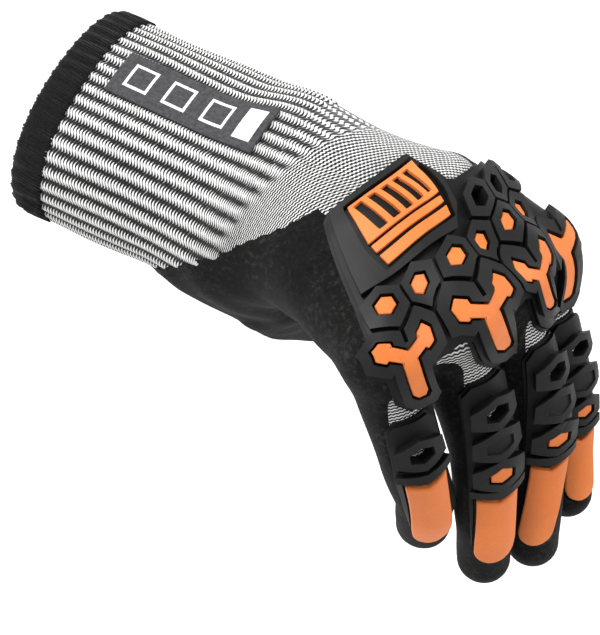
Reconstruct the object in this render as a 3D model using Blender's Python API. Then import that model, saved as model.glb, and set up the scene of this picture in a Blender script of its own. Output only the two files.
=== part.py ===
"""Impact work glove, left hand, in the shape it has when worn.

The origin is the middle of the cuff's mouth. X runs from the cuff towards the
hand, Z is up on the back-of-hand side, and the thumb is on the -Y side.
Tables are in millimetres; the model is in metres.
"""
import math
import bpy
import bmesh
import numpy as np
from mathutils.geometry import delaunay_2d_cdt
from mathutils import Vector

MM = 0.001
KNIT_WALL = 1.5          # thickness of the knitted liner
HEM_LENGTH = 10.0        # dark band at the cuff's mouth
PIECE_GAP = 0.3          # clearance between neighbouring pieces
COAT_LOW, COAT_HIGH = 0.32, 0.92     # dipped coating, heights above the knit
GUARD_LOW = 2.1          # underside of the moulded pieces, height above the knit
GROOVE = 3.0             # top of the thin web between cells
FLOOR = 3.1              # floor of the framed panel
CELL_TOP = 4.5           # top of the raised cells
INSERT_LOW, INSERT_TOP = 3.4, 4.6    # orange pieces of the panel
PLUG_TOP = 4.0           # top of orange plugs in their cells
LINER_TRIANGLES = 1950   # outside of the liner
GRID = 5.0               # spacing of points on wide moulded faces
HEX_HOLE = 0.235         # open part of a hexagon, in pitches from centre to flat
PLUG_SIZE = 0.195        # orange plug, in pitches from centre to flat

for item in list(bpy.data.objects):
    bpy.data.objects.remove(item, do_unlink=True)


# Soft form: a chain is a row of balls joined by cones; columns are name, x, y, z, radius
CUFF = [
    [("hem_thumb", -14, -7, 0, 24.5), ("wrist_thumb", 60, -6, 2, 24.0)],
    [("hem_little", -14, 8, 0, 24.5), ("wrist_little", 60, 10, 2, 23.0)],
]
PALM = [
    [("carpus_index", 66, -2, 4, 20.5), ("mid_index", 97, -21, 17.5, 14.5), ("knuckle_index", 118.5, -35.5, 22, 11.2)],
    [("carpus_middle", 70, 2, 7, 21), ("mid_middle", 103, -9, 19, 15.5), ("knuckle_middle", 127, -16.5, 19.5, 12.8)],
    [("carpus_ring", 70, 7, 4, 20), ("mid_ring", 107, 7, 14.5, 14.5), ("knuckle_ring", 131.5, 4, 10.5, 12.4)],
    [("carpus_little", 68, 9, 0, 18.5), ("mid_little", 105.5, 20.5, 6, 14), ("knuckle_little", 133, 21, -3, 11.6)],
]
THUMB = [("thumb_root", 60, -11, -3, 18), ("thumb_ball", 70, -9, -23, 13.5), ("thumb_knuckle", 69, -1, -44, 11.2),
         ("thumb_joint", 72, 10, -62, 10), ("thumb_tip", 76, 19, -76, 8.6)]
FINGERS = {
    "index": [("knuckle", 119, -36.8, 21.5, 9.6), ("middle_joint", 134.2, -46.1, -7.4, 7.8), ("end_joint", 139.7, -47.1, -24, 7.2), ("tip", 139.4, -46.4, -40, 6.8)],
    "middle": [("knuckle", 127, -16.5, 19.5, 10.2), ("middle_joint", 146.8, -28.8, -17.9, 8.1), ("end_joint", 153.4, -36.5, -41.5, 7.4), ("tip", 155.9, -39.7, -57.2, 6.8)],
    "ring": [("knuckle", 131.5, 4.3, 10.5, 10.0), ("middle_joint", 153.9, -10.3, -22.1, 8.0), ("end_joint", 161.3, -20.7, -45.8, 7.4), ("tip", 165.1, -26.9, -60.5, 6.8)],
    "little": [("knuckle", 132.5, 21.5, -3, 9.2), ("middle_joint", 152.3, 7.9, -28.5, 7.4), ("end_joint", 161.1, 0.2, -48.9, 6.9), ("tip", 167.1, -8.5, -60.9, 6.4)],
}
BLEND_PALM, BLEND_FINGER, BLEND_THUMB = 11.0, 5.0, 10.0


def chain_distance(points, chain):
    """Distance to a chain of balls joined by cones."""
    best = None
    for (_, x0, y0, z0, r0), (_, x1, y1, z1, r1) in zip(chain[:-1], chain[1:]):
        a = np.array((x0, y0, z0), float)
        ab = np.array((x1, y1, z1), float) - a
        t = np.clip(((points - a) @ ab) / (ab @ ab), 0, 1)
        d = np.linalg.norm(points - a - t[:, None] * ab, axis=1) - (r0 + (r1 - r0) * t)
        best = d if best is None else np.minimum(best, d)
    return best


def soft_min(a, b, width):
    h = np.maximum(width - np.abs(a - b), 0) / width
    return np.minimum(a, b) - h * h * width * 0.25


def glove_distance(points, between=3.2):
    """Signed distance to the outside of the knit, in millimetres."""
    d = chain_distance(points, CUFF[0])
    d = soft_min(d, chain_distance(points, CUFF[1]), BLEND_PALM)
    for chain in PALM:
        d = soft_min(d, chain_distance(points, chain), BLEND_PALM)
    d = soft_min(d, chain_distance(points, THUMB), BLEND_THUMB)
    f = None
    for chain in FINGERS.values():
        c = chain_distance(points, chain)
        f = c if f is None else soft_min(f, c, between)
    return soft_min(d, f, BLEND_FINGER)


def back_distance(points):
    """The same form with its finger gaps bridged, as the moulded guard spans them."""
    return glove_distance(points, 13.0)


def surface_nets(field, low, high, step):
    """Closed quad mesh where the field is zero."""
    axes = [np.arange(l, h + step, step) for l, h in zip(low, high)]
    grid = np.stack(np.meshgrid(*axes, indexing="ij"), -1)
    shape = grid.shape[:3]
    value = field(grid.reshape(-1, 3)).reshape(shape)
    inside = value < 0
    n = [s - 1 for s in shape]
    total = np.zeros(n + [3]); count = np.zeros(n)
    for axis in range(3):
        o1, o2 = [k for k in range(3) if k != axis]
        lo = [slice(None)] * 3; hi = [slice(None)] * 3
        lo[axis] = slice(0, -1); hi[axis] = slice(1, None)
        v0, v1 = value[tuple(lo)], value[tuple(hi)]
        cross = (v0 < 0) != (v1 < 0)
        t = np.where(cross, v0 / np.where(cross, v0 - v1, 1), 0)
        p = grid[tuple(lo)] + t[..., None] * (grid[tuple(hi)] - grid[tuple(lo)])
        p = p * cross[..., None]
        for i in (0, 1):
            for j in (0, 1):
                s = [slice(None)] * 3
                s[o1] = slice(i, shape[o1] - 1 + i); s[o2] = slice(j, shape[o2] - 1 + j)
                total += p[tuple(s)]; count += cross[tuple(s)]
    mask = count > 0
    index = -np.ones(n, int)
    index[mask] = np.arange(mask.sum())
    verts = total[mask] / count[mask][:, None]
    faces = []
    for axis in range(3):
        o1, o2 = (axis + 1) % 3, (axis + 2) % 3
        lo = [slice(None)] * 3; hi = [slice(None)] * 3
        lo[axis] = slice(0, -1); hi[axis] = slice(1, None)
        a, b = inside[tuple(lo)], inside[tuple(hi)]
        for sign in (True, False):
            where = np.argwhere((a == sign) & (b == (not sign)))
            where = where[(where[:, o1] > 0) & (where[:, o2] > 0) & (where[:, o1] < shape[o1] - 1) & (where[:, o2] < shape[o2] - 1)]
            ring = []
            for i, j in ((0, 0), (-1, 0), (-1, -1), (0, -1)):
                q = where.copy(); q[:, o1] += i; q[:, o2] += j
                ring.append(index[q[:, 0], q[:, 1], q[:, 2]])
            ring = np.stack(ring, 1)
            faces.append(ring if sign else ring[:, ::-1])
    return verts, np.concatenate(faces)


def field_normal(points, field=glove_distance, e=0.4):
    g = np.stack([field(points + np.eye(3)[k] * e) - field(points - np.eye(3)[k] * e) for k in range(3)], 1)
    return g / np.maximum(np.linalg.norm(g, axis=1, keepdims=True), 1e-9)


def unit(v):
    v = np.asarray(v, float)
    return v / np.linalg.norm(v)


class Wrap:
    """Flat measures (across, along, height) laid on the glove around a bent axis.

    across and along are millimetres of surface from the reference line, height is
    millimetres above the knit.
    """

    def __init__(self, axis, up, up_end, field, reach=(-2.6, 2.6), row=0.5):
        self.axis = [np.array(p, float) for p in axis]
        self.up, self.up_end = unit(up), unit(up_end)
        self.field = field
        s = np.linspace(0, 1, 81)
        line = self.cast(np.zeros_like(s), s, 0.0)
        self.s_table = s
        self.b_table = np.concatenate(([0], np.cumsum(np.linalg.norm(np.diff(line, axis=0), axis=1))))
        self.length = self.b_table[-1]
        ang = np.linspace(reach[0], reach[1], 161)
        ring = self.cast(ang, np.full_like(ang, row), 0.0)
        run = np.concatenate(([0], np.cumsum(np.linalg.norm(np.diff(ring, axis=0), axis=1))))
        self.a_table, self.angle_table = run - np.interp(0, ang, run), ang

    def frame(self, s):
        p = self.axis
        s = np.asarray(s, float)[:, None]
        if len(p) == 3:
            pos = (1 - s) ** 2 * p[0] + 2 * s * (1 - s) * p[1] + s * s * p[2]
            tan = 2 * (1 - s) * (p[1] - p[0]) + 2 * s * (p[2] - p[1])
        else:
            pos = ((1 - s) ** 3 * p[0] + 3 * s * (1 - s) ** 2 * p[1] + 3 * s * s * (1 - s) * p[2] + s ** 3 * p[3])
            tan = 3 * (1 - s) ** 2 * (p[1] - p[0]) + 6 * s * (1 - s) * (p[2] - p[1]) + 3 * s * s * (p[3] - p[2])
        tan /= np.linalg.norm(tan, axis=1, keepdims=True)
        side = np.cross(tan, self.up * (1 - s) + self.up_end * s)
        side /= np.linalg.norm(side, axis=1, keepdims=True)
        side = -side
        return pos, tan, side, np.cross(tan, side)

    def cast(self, angle, s, height, far=45.0):
        pos, tan, side, nor = self.frame(s)
        ray = nor * np.cos(angle)[:, None] + side * np.sin(angle)[:, None]
        hi = np.full(len(pos), far); lo = np.zeros(len(pos))
        # the outermost crossing, so step inwards from outside
        r = np.full(len(pos), far)
        for _ in range(60):
            d = self.field(pos + ray * r[:, None])
            r = np.maximum(r - np.clip(d, -2, 8) * 0.9, 0.5)
        point = pos + ray * r[:, None]
        if np.any(np.asarray(height) != 0):
            n = field_normal(point, self.field)
            point = point + n * np.broadcast_to(height, (len(point),))[:, None]
        return point

    def place(self, across, along, height):
        across, along = np.asarray(across, float), np.asarray(along, float)
        angle = np.interp(across, self.a_table, self.angle_table)
        s = np.interp(along, self.b_table, self.s_table)
        return self.cast(angle, s, height)


# ---- lay of the moulded pieces -------------------------------------------------
# back guard: three points of a bent line inside the hand, and the way it faces
BACK_AXIS = [(75.5, 3.2, -7.4), (99.0, -8.9, -10.4), (147.0, -60.8, -23.6)]
BACK_UP = (-1.25, 0.80, 1.0)
BACK_START = (15.1, 56.0)        # across and along of the first hexagon
BACK_TURN = -0.36                # radians the rows are turned
PITCH_ACROSS, PITCH_ALONG = 10.3, 12.4

# fingers: the way each back faces at the knuckle and at the tip
FINGER_UP = {
    "index": ((0.43, -0.33, 0.84), (0.25, -0.44, 0.86)),
    "middle": ((0.71, -0.07, 0.70), (0.25, -0.44, 0.86)),
    "ring": ((0.88, 0.21, 0.43), (0.02, -0.55, 0.83)),
    "little": ((0.81, 0.07, 0.58), (0.47, -0.30, 0.83)),
}
# columns: millimetres along the finger's back to the guard's start, the open
# hexagon, the plain hexagon, the plugged hexagon, the chevron, the tip pad's
# start and end, then the half widths of the guard and the pad
FINGER_GUARD = {
    "index": dict(start=16.3, open=25.9, plain=None, plug=None, chevron=33.2, pad=36.2, end=63.0, half=6.4, pad_half=4.4),
    "middle": dict(start=18.2, open=27.6, plain=37.4, plug=47.0, chevron=53.0, pad=56.2, end=80.0, half=6.6, pad_half=4.9),
    "ring": dict(start=19.6, open=27.8, plain=37.4, plug=46.8, chevron=52.8, pad=56.0, end=83.0, half=6.2, pad_half=4.6),
    "little": dict(start=18.6, open=27.0, plain=36.4, plug=45.6, chevron=51.2, pad=54.2, end=74.5, half=5.4, pad_half=4.2),
}


def finger_axis(chain):
    p = [np.array(c[1:4], float) for c in chain]
    return [p[0], p[1], p[2], p[3] + unit(p[3] - p[2]) * chain[3][4] * 0.9]


def make_wraps():
    wraps = {"back": Wrap(BACK_AXIS, BACK_UP, BACK_UP, back_distance, reach=(-1.6, 1.8))}
    for name, chain in FINGERS.items():
        up, up_end = FINGER_UP[name]
        wraps[name] = Wrap(finger_axis(chain), up, up_end, lambda q, c=chain: chain_distance(q, c), reach=(-2, 2))
    return wraps


def back_to_mm(a, b):
    """Guard pitches (across, along) to millimetres on the back of the hand."""
    a, b = np.asarray(a, float), np.asarray(b, float)
    c, s = math.cos(BACK_TURN), math.sin(BACK_TURN)
    return BACK_START[0] + (a * c - b * s) * PITCH_ACROSS, BACK_START[1] + (a * s + b * c) * PITCH_ALONG


# three prongs run over their knuckles: where each Y lies and how far a pitch goes,
# in the glove's plan seen from above its back (1/3.75 mm); columns are the column
# of cells, x and y of the Y's centre, then x and y a pitch across and a pitch along
PLAN_FORWARD = (0.87, -0.425, 0.25)
PLAN_ORIGIN = (72.0, 112.0, -38.0)
PRONG_PLAN = {
    "index": (0, 403.0, 356.0, 34.0, -14.0, 10.6, 34.0),
    "middle": (2, 481.0, 311.0, 33.0, -21.0, 12.7, 34.4),
    "ring": (4, 531.0, 276.0, 16.5, -14.0, 8.0, 28.5),
}
PLAN_END = 4.65          # columns past this one follow the hand's side


def plan_axes():
    forward = unit(np.array(PLAN_FORWARD))
    e = math.atan2(-forward[1], forward[2])
    up = np.array((0, math.cos(e), math.sin(e)))
    return forward, np.cross(up, forward), up


def plan_point(px, py, depth):
    """A point of the plan, depth millimetres nearer the eye than its origin."""
    f, s, u = plan_axes()
    scale = 3.75 * 600.0 / (600.0 - depth)
    zero = 3.75 * 600.0 / (600.0 - PLAN_ORIGIN[2])
    v = np.stack([(px - 300) / scale - (PLAN_ORIGIN[0] - 300) / zero,
                  (317.5 - py) / scale - (317.5 - PLAN_ORIGIN[1]) / zero,
                  np.broadcast_to(depth - PLAN_ORIGIN[2], np.shape(px))], 1)
    return np.stack([v @ f, v @ s, v @ u], 1)


def prong_place(across, along, height, wrap):
    """The back guard's own wrap, turned over the knuckles at its prongs."""
    across, along = np.asarray(across, float), np.asarray(along, float)
    height = np.broadcast_to(np.asarray(height, float), across.shape)
    usual = wrap.place(across, along, height)
    c, s = math.cos(BACK_TURN), math.sin(BACK_TURN)
    x, y = (across - BACK_START[0]) / PITCH_ACROSS, (along - BACK_START[1]) / PITCH_ALONG
    a, b = x * c + y * s, -x * s + y * c
    t, r = np.clip((b - 0.35) / 0.75, 0, 1), np.clip((PLAN_END + 0.4 - a) / 0.8, 0, 1)
    w = t * t * (3 - 2 * t) * r * r * (3 - 2 * r)
    near = w > 0
    if not np.any(near):
        return usual
    px = np.zeros(near.sum()); py = np.zeros(near.sum()); share = np.zeros(near.sum())
    for column, x0, y0, ax, ay, bx, by in PRONG_PLAN.values():
        d = a[near] - column
        if column == 0:
            d = np.maximum(d, 0)
        if column == 4:
            d = np.minimum(d, 0)
        k = np.clip((1.2 - np.abs(d)) / 0.4, 0, 1)
        k = k * k * (3 - 2 * k) + 1e-9
        px += k * (x0 + (a[near] - column) * ax + (b[near] - 1.155) * bx)
        py += k * (y0 + (a[near] - column) * ay + (b[near] - 1.155) * by)
        share += k
    px, py = px / share, py / share
    start = plan_point(px, py, 75.0)
    way = plan_point(px, py, 0.0) - start
    way /= np.linalg.norm(way, axis=1, keepdims=True)
    r = np.zeros(len(px))
    for _ in range(90):
        r = np.minimum(r + np.clip(back_distance(start + way * r[:, None]), -1, 12) * 0.8, 110)
    point = start + way * np.clip(r, 0, 110)[:, None]
    w[near] *= np.clip(2.0 - np.abs(back_distance(point)), 0, 1)
    point = point + field_normal(point, back_distance) * height[near][:, None]
    out = usual.copy()
    out[near] = usual[near] * (1 - w[near][:, None]) + point * w[near][:, None]
    return out


# where the dipped coating reaches: a slanted line round the wrist, the edge of
# the back guard on the thumb side, and half way up the sides elsewhere
WRIST_LINE = [(47, -26, -6), (88, -14, 34), (44, 10, -24)]
THUMB_SIDE = dict(point=(101.4, -19, 31.4), across=(0.36, 0.90, -0.25))
PALM_SIDE = dict(point=(108, -8, 11), up=(-0.15, -0.05, 0.98))
STRIP_HALF = dict(index=5.0, middle=5.6, ring=5.4, little=4.9)   # bare knit on each finger's back


def coat_distance(points):
    """Millimetres inside the dipped coating's edge, negative on bare knit."""
    p = np.asarray(points, float)
    a, b, c = [np.array(q, float) for q in WRIST_LINE]
    n = unit(np.cross(b - a, c - a))
    if n[0] < 0:
        n = -n
    wrist = (p - a) @ n
    thumb = -(p - np.array(THUMB_SIDE["point"], float)) @ unit(THUMB_SIDE["across"])
    palm = -(p - np.array(PALM_SIDE["point"], float)) @ unit(PALM_SIDE["up"])
    hand = np.maximum(thumb, palm)
    d_hand = None
    for chain in PALM:
        d = chain_distance(p, chain)
        d_hand = d if d_hand is None else np.minimum(d_hand, d)
    d_thumb = chain_distance(p, THUMB)
    near = np.full(len(p), 1e9); finger = np.full(len(p), -1e9)
    for name, chain in FINGERS.items():
        up, up_end = [unit(v) for v in FINGER_UP[name]]
        axis = np.array([q[1:4] for q in chain], float)
        radius = np.array([q[4] for q in chain], float)
        d = chain_distance(p, chain)
        best = np.full(len(p), 1e9); value = np.zeros(len(p))
        done, total = 0.0, np.sum(np.linalg.norm(np.diff(axis, axis=0), axis=1))
        for k in range(3):
            ab = axis[k + 1] - axis[k]; length = np.linalg.norm(ab); t = ((p - axis[k]) @ ab) / length
            tc = np.clip(t / length, 0, 1)
            q = axis[k] + tc[:, None] * ab
            gap = np.linalg.norm(p - q, axis=1)
            s = (done + tc * length) / total
            tan = ab / length
            u = up[None] * (1 - s[:, None]) + up_end[None] * s[:, None]
            u = u - (u @ tan)[:, None] * tan
            u /= np.linalg.norm(u, axis=1, keepdims=True)
            r = p - q
            rr = r - (r @ tan)[:, None] * tan
            cosine = np.clip(np.sum(rr * u, 1) / np.maximum(np.linalg.norm(rr, axis=1), 1e-6), -1, 1)
            rad = radius[k] + (radius[k + 1] - radius[k]) * tc
            v = np.arccos(cosine) * rad - STRIP_HALF[name]
            v = np.maximum(v, done + t - (0.93 * FINGER_GUARD[name]["pad"] - 5.0))
            better = gap < best
            value = np.where(better, v, value); best = np.where(better, gap, best)
            done += length
        closer = d < near
        finger = np.where(closer, value, finger); near = np.where(closer, d, near)
    w = 1 / (1 + np.exp(np.clip((near - d_hand) / 1.5, -30, 30)))
    hand = np.where(d_thumb < np.minimum(d_hand, near) - 1, np.maximum(hand, 6.0), hand)
    return np.minimum(w * finger + (1 - w) * hand, wrist)


# ---- meshes ---------------------------------------------------------------------
def material(name, colour, roughness, metallic=0.0):
    m = bpy.data.materials.new(name)
    m.use_nodes = True
    shader = m.node_tree.nodes["Principled BSDF"]
    shader.inputs["Base Color"].default_value = (*colour, 1.0)
    shader.inputs["Roughness"].default_value = roughness
    shader.inputs["Metallic"].default_value = metallic
    m.diffuse_color = (*colour, 1.0)
    return m


KNIT = dict(name="knit_grey", colour=(0.34, 0.35, 0.36), roughness=0.95)
HEM = dict(name="hem_black", colour=(0.012, 0.012, 0.014), roughness=0.95)
COAT = dict(name="coat_black", colour=(0.016, 0.016, 0.017), roughness=0.9)
RUBBER = dict(name="rubber_black", colour=(0.022, 0.024, 0.026), roughness=0.55)
ORANGE = dict(name="rubber_orange", colour=(0.93, 0.30, 0.07), roughness=0.5)
LABEL = dict(name="label_grey", colour=(0.05, 0.05, 0.055), roughness=0.8)


def add_piece(name, verts, faces, look):
    mesh = bpy.data.meshes.new(name)
    mesh.from_pydata([tuple(float(x) * MM for x in v) for v in verts], [], [tuple(int(i) for i in f) for f in faces])
    mesh.update()
    obj = bpy.data.objects.new(name, mesh)
    bpy.context.scene.collection.objects.link(obj)
    obj.data.materials.append(material(name + "_" + look["name"], look["colour"], look["roughness"]))
    mesh.shade_smooth()
    mesh.set_sharp_from_angle(angle=math.radians(38))
    return obj


def outer_skin():
    """The outside of the knit as triangles, thinned evenly."""
    verts, quads = surface_nets(glove_distance, (-6, -70, -98), (188, 50, 58), 1.5)
    mesh = bpy.data.meshes.new("skin")
    mesh.from_pydata([tuple(v) for v in verts], [], [tuple(int(i) for i in q) for q in quads])
    obj = bpy.data.objects.new("skin", mesh)
    bpy.context.scene.collection.objects.link(obj)
    tri = obj.modifiers.new("triangles", "TRIANGULATE")
    thin = obj.modifiers.new("thin", "DECIMATE")
    thin.ratio = LINER_TRIANGLES / (2.0 * len(quads)) * 1.06
    graph = bpy.context.evaluated_depsgraph_get()
    done = obj.evaluated_get(graph).to_mesh()
    done.calc_loop_triangles()
    v = np.array([tuple(p.co) for p in done.vertices])
    t = np.array([tuple(q.vertices) for q in done.loop_triangles])
    bpy.data.objects.remove(obj, do_unlink=True)
    n = field_normal(v)
    v = v - n * glove_distance(v)[:, None] * 0.9
    return v, t


def clip(verts, tris, value, snap=0.12):
    """Keep the part of a triangle mesh where value is positive."""
    value = value.copy()
    edges = set()
    for t in tris:
        for i in range(3):
            a, b = int(t[i]), int(t[(i + 1) % 3])
            edges.add((min(a, b), max(a, b)))
    for a, b in sorted(edges):
        va, vb = value[a], value[b]
        if va * vb < 0:
            r = va / (va - vb)
            if r < snap:
                value[a] = 0.0
            elif r > 1 - snap:
                value[b] = 0.0
    out = [tuple(v) for v in verts]
    made = {}

    def cut(a, b):
        key = (min(a, b), max(a, b))
        if key not in made:
            k0, k1 = key
            r = value[k0] / (value[k0] - value[k1])
            made[key] = len(out)
            out.append(tuple(np.array(verts[k0]) * (1 - r) + np.array(verts[k1]) * r))
        return made[key]

    faces = []
    for t in tris:
        t = [int(i) for i in t]
        s = [value[i] for i in t]
        if max(s) <= 0:
            continue
        if min(s) >= 0:
            faces.append(t)
            continue
        ring = []
        for i in range(3):
            a, b = t[i], t[(i + 1) % 3]
            if value[a] >= 0:
                ring.append(a)
            if value[a] * value[b] < 0:
                ring.append(cut(a, b))
        for i in range(1, len(ring) - 1):
            faces.append([ring[0], ring[i], ring[i + 1]])
    return tidy(np.array(out), faces)


def tidy(verts, faces):
    used = sorted({i for f in faces for i in f})
    remap = {old: new for new, old in enumerate(used)}
    return verts[used], [[remap[i] for i in f] for f in faces]


def largest(verts, faces, keep=1):
    """The biggest joined patch of a mesh."""
    parent = list(range(len(verts)))

    def root(i):
        while parent[i] != i:
            parent[i] = parent[parent[i]]
            i = parent[i]
        return i
    for f in faces:
        for i in f[1:]:
            parent[root(i)] = root(f[0])
    groups = {}
    for f in faces:
        groups.setdefault(root(f[0]), []).append(f)
    best = max(groups.values(), key=len)
    return tidy(verts, best)


def mesh_normals(verts, faces):
    n = np.zeros_like(verts)
    for f in faces:
        a, b, c = verts[f[0]], verts[f[1]], verts[f[2]]
        m = np.cross(b - a, c - a)
        for i in f:
            n[i] += m
    return n / np.maximum(np.linalg.norm(n, axis=1, keepdims=True), 1e-9)


def open_pinches(verts, faces):
    """Duplicate a corner that two fans of faces share by that corner alone."""
    verts = [tuple(v) for v in verts]
    faces = [list(f) for f in faces]
    around = {}
    for k, f in enumerate(faces):
        for i in f:
            around.setdefault(i, []).append(k)
    for i in sorted(around):
        left = set(around[i]); fans = []
        while left:
            fan = [min(left)]; left.discard(fan[0]); stack = [fan[0]]
            while stack:
                k = stack.pop()
                others = {j for j in faces[k] if j != i}
                for m in sorted(left):
                    if others & {j for j in faces[m] if j != i}:
                        left.discard(m); fan.append(m); stack.append(m)
            fans.append(fan)
        for fan in fans[1:]:
            # the smaller fan is dropped, which opens the pinch
            for k in fan:
                faces[k] = None
        if len(fans) > 1:
            return open_pinches(np.array(verts), [f for f in faces if f is not None])
    return np.array(verts), faces


def thicken(verts, faces, normals, low, high):
    """Closed wall between two heights over an open patch."""
    n = len(verts)
    allv = np.concatenate([verts + normals * low, verts + normals * high])
    out = [[i + n for i in f] for f in faces] + [[f[0], f[2], f[1]] for f in faces]
    edges = {}
    for f in faces:
        for i in range(3):
            edges[(f[i], f[(i + 1) % 3])] = 1
    for a, b in edges:
        if (b, a) not in edges:
            out.append([a, b, b + n])
            out.append([a, b + n, a + n])
    return allv, out


def plate(regions, low, to_space, grid=GRID):
    """Closed moulded piece over flat polygons.

    regions is a list of (polygon, top height); a later one covers an earlier one,
    and a height of None is a hole. to_space takes across, along and height.
    """
    points, loops = [], []
    for polygon, _ in regions:
        ring = []
        for i, (x0, y0) in enumerate(polygon):
            x1, y1 = polygon[(i + 1) % len(polygon)]
            parts = max(1, int(math.ceil(math.hypot(x1 - x0, y1 - y0) / grid)))
            for k in range(parts):
                ring.append(len(points))
                points.append((x0 + (x1 - x0) * k / parts, y0 + (y1 - y0) * k / parts))
        loops.append(ring)
    xs = [p[0] for p in regions[0][0]]; ys = [p[1] for p in regions[0][0]]
    rim = np.array(points)
    gx = np.arange(min(xs) + grid * 0.5, max(xs), grid)
    gy = np.arange(min(ys) + grid * 0.5, max(ys), grid)
    for j, y in enumerate(gy):
        for x in gx + (grid * 0.5 if j % 2 else 0):
            if np.min(np.hypot(rim[:, 0] - x, rim[:, 1] - y)) > grid * 0.55:
                points.append((x, y))
    flat, _, tris, _, _, owner = delaunay_2d_cdt([Vector(p) for p in points], [], loops, 0, 1e-4)
    flat = [(p.x, p.y) for p in flat]
    tops = []
    for own in owner:
        tops.append(regions[max(own)][1] if own else None)
    heights = {}
    for t, top in zip(tris, tops):
        for i in t:
            heights.setdefault(i, set()).add(low if top is None else top)
            heights[i].add(low)
    index, verts = {}, []

    def vertex(i, h):
        key = (i, round(h, 4))
        if key not in index:
            index[key] = len(verts)
            verts.append((flat[i][0], flat[i][1], h))
        return index[key]

    def ccw(t):
        a, b, c = [flat[i] for i in t]
        return (b[0] - a[0]) * (c[1] - a[1]) - (b[1] - a[1]) * (c[0] - a[0]) > 0

    faces, side = [], {}
    for t, top in zip(tris, tops):
        t = list(t) if ccw(t) else list(t)[::-1]
        level = low if top is None else top
        if top is not None:
            faces.append([vertex(i, top) for i in t])
            faces.append([vertex(i, low) for i in t[::-1]])
        for k in range(3):
            side[(t[k], t[(k + 1) % 3])] = level
    for (a, b), level in side.items():
        other = side.get((b, a), low)
        if level > other:
            left = sorted(h for h in heights[a] if other - 1e-6 <= h <= level + 1e-6)
            right = sorted(h for h in heights[b] if other - 1e-6 <= h <= level + 1e-6)
            i = j = 0
            while i < len(left) - 1 or j < len(right) - 1:
                step_left = j == len(right) - 1 or (i < len(left) - 1 and left[i + 1] <= right[j + 1])
                if step_left:
                    faces.append([vertex(a, left[i]), vertex(b, right[j]), vertex(a, left[i + 1])])
                    i += 1
                else:
                    faces.append([vertex(a, left[i]), vertex(b, right[j]), vertex(b, right[j + 1])])
                    j += 1
    v = np.array(verts)
    # across, along and height turn the other way round from X, Y and Z
    return to_space(v[:, 0], v[:, 1], v[:, 2]), [f[::-1] for f in faces]


def hexagon(cx, cy, apothem, start=0.0, sx=1.0, sy=1.0):
    r = apothem / math.cos(math.pi / 6)
    return [(cx + sx * r * math.cos(start + k * math.pi / 3), cy + sy * r * math.sin(start + k * math.pi / 3)) for k in range(6)]


def three_legs(cx, cy, half, arm, stem, chamfer=0.45):
    """Outline of a Y: two arms towards the hexagon centres and a stem."""
    ring = []
    for k, reach in ((0, stem), (1, arm), (2, arm)):
        ang = math.pi / 2 + k * 2 * math.pi / 3
        d = (math.cos(ang), math.sin(ang)); n = (-d[1], d[0])
        inner = ang - math.pi / 3
        ring.append((cx + math.cos(inner) * half / math.sin(math.pi / 3), cy + math.sin(inner) * half / math.sin(math.pi / 3)))
        for along, out in ((reach - half * chamfer, -1), (reach, -1 + chamfer), (reach, 1 - chamfer), (reach - half * chamfer, 1)):
            ring.append((cx + d[0] * along + n[0] * out * half, cy + d[1] * along + n[1] * out * half))
    return ring


# ---- the back guard's layout, in pitches from the first hexagon ----------------
TURN = math.pi / 6       # a flat side of each cell faces its neighbour


def cell_centre(column, row):
    return column - 0.5 * row, 0.8660 * row


Y_CELLS = {"index": 0, "middle": 2, "ring": 4, "little": 6}
# how far each prong leans across at its end, following its finger
LEAN = {"index": 0.0, "middle": 0.0, "ring": 0.0, "little": 0.80}


def leaned(points, lean):
    return [(x + lean * max(0.0, y - 1.155) / 0.95, y) for x, y in points]


def prong(centre, lean, more=0.0):
    """The outline round one finger's prong, from the little-finger side across."""
    side = [(centre + 0.52, 1.60), (centre + 0.50, 2.26 + more), (centre + 0.24, 2.54 + more), (centre - 0.24, 2.54 + more),
            (centre - 0.50, 2.26 + more), (centre - 0.52, 1.60)]
    return leaned(side, lean)


BACK_OUTLINE = ([(-0.46, -0.48), (-0.46, -2.86), (-0.36, -2.96), (2.16, -3.00), (2.30, -2.94), (2.92, -1.72),
                 (3.30, -1.56), (5.00, -1.56), (5.72, -1.30), (6.10, -0.70), (6.62, -0.10), (7.02, 0.50), (7.12, 1.05),
                 (6.86, 1.45)]
                + prong(6, LEAN["little"]) + [(5.22, 1.46), (4.90, 1.46)]
                + prong(4, LEAN["ring"], 0.35) + [(3.22, 1.46), (2.78, 1.46)]
                + prong(2, LEAN["middle"]) + [(1.22, 1.46), (0.78, 1.46)]
                + prong(0, LEAN["index"])
                + [(-0.98, 1.30), (-1.04, 0.60), (-0.56, 0.46)])
PLUG_CELLS = [(0, 0), (1, 0), (2, 0), (3, 0), (4, 0), (5, 0)]
OPEN_CELLS = [(3, -1), (4, -1), (5, -1)]
PANEL_EDGE = [(-0.32, -0.56), (-0.32, -2.80), (2.10, -2.84), (2.66, -1.74), (2.78, -1.06), (2.44, -0.56), (0.55, -0.56)]
PANEL_FLOOR = [(0.00, -2.64), (2.26, -2.68), (2.60, -1.42), (2.58, -0.84), (0.38, -0.70), (0.14, -1.42)]
FRAME_OUT = [(0.10, -2.56), (2.18, -2.60), (2.40, -1.56), (0.26, -1.50)]
FRAME_IN = [(0.24, -2.44), (2.06, -2.48), (2.24, -1.68), (0.38, -1.63)]


def between(quad, s, t):
    (x0, y0), (x1, y1), (x2, y2), (x3, y3) = quad
    return ((x0 * (1 - s) + x1 * s) * (1 - t) + (x3 * (1 - s) + x2 * s) * t,
            (y0 * (1 - s) + y1 * s) * (1 - t) + (y3 * (1 - s) + y2 * s) * t)


def scaled(polygon, mapper=back_to_mm):
    return [tuple(float(q) for q in mapper(x, y)) for x, y in polygon]


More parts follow.
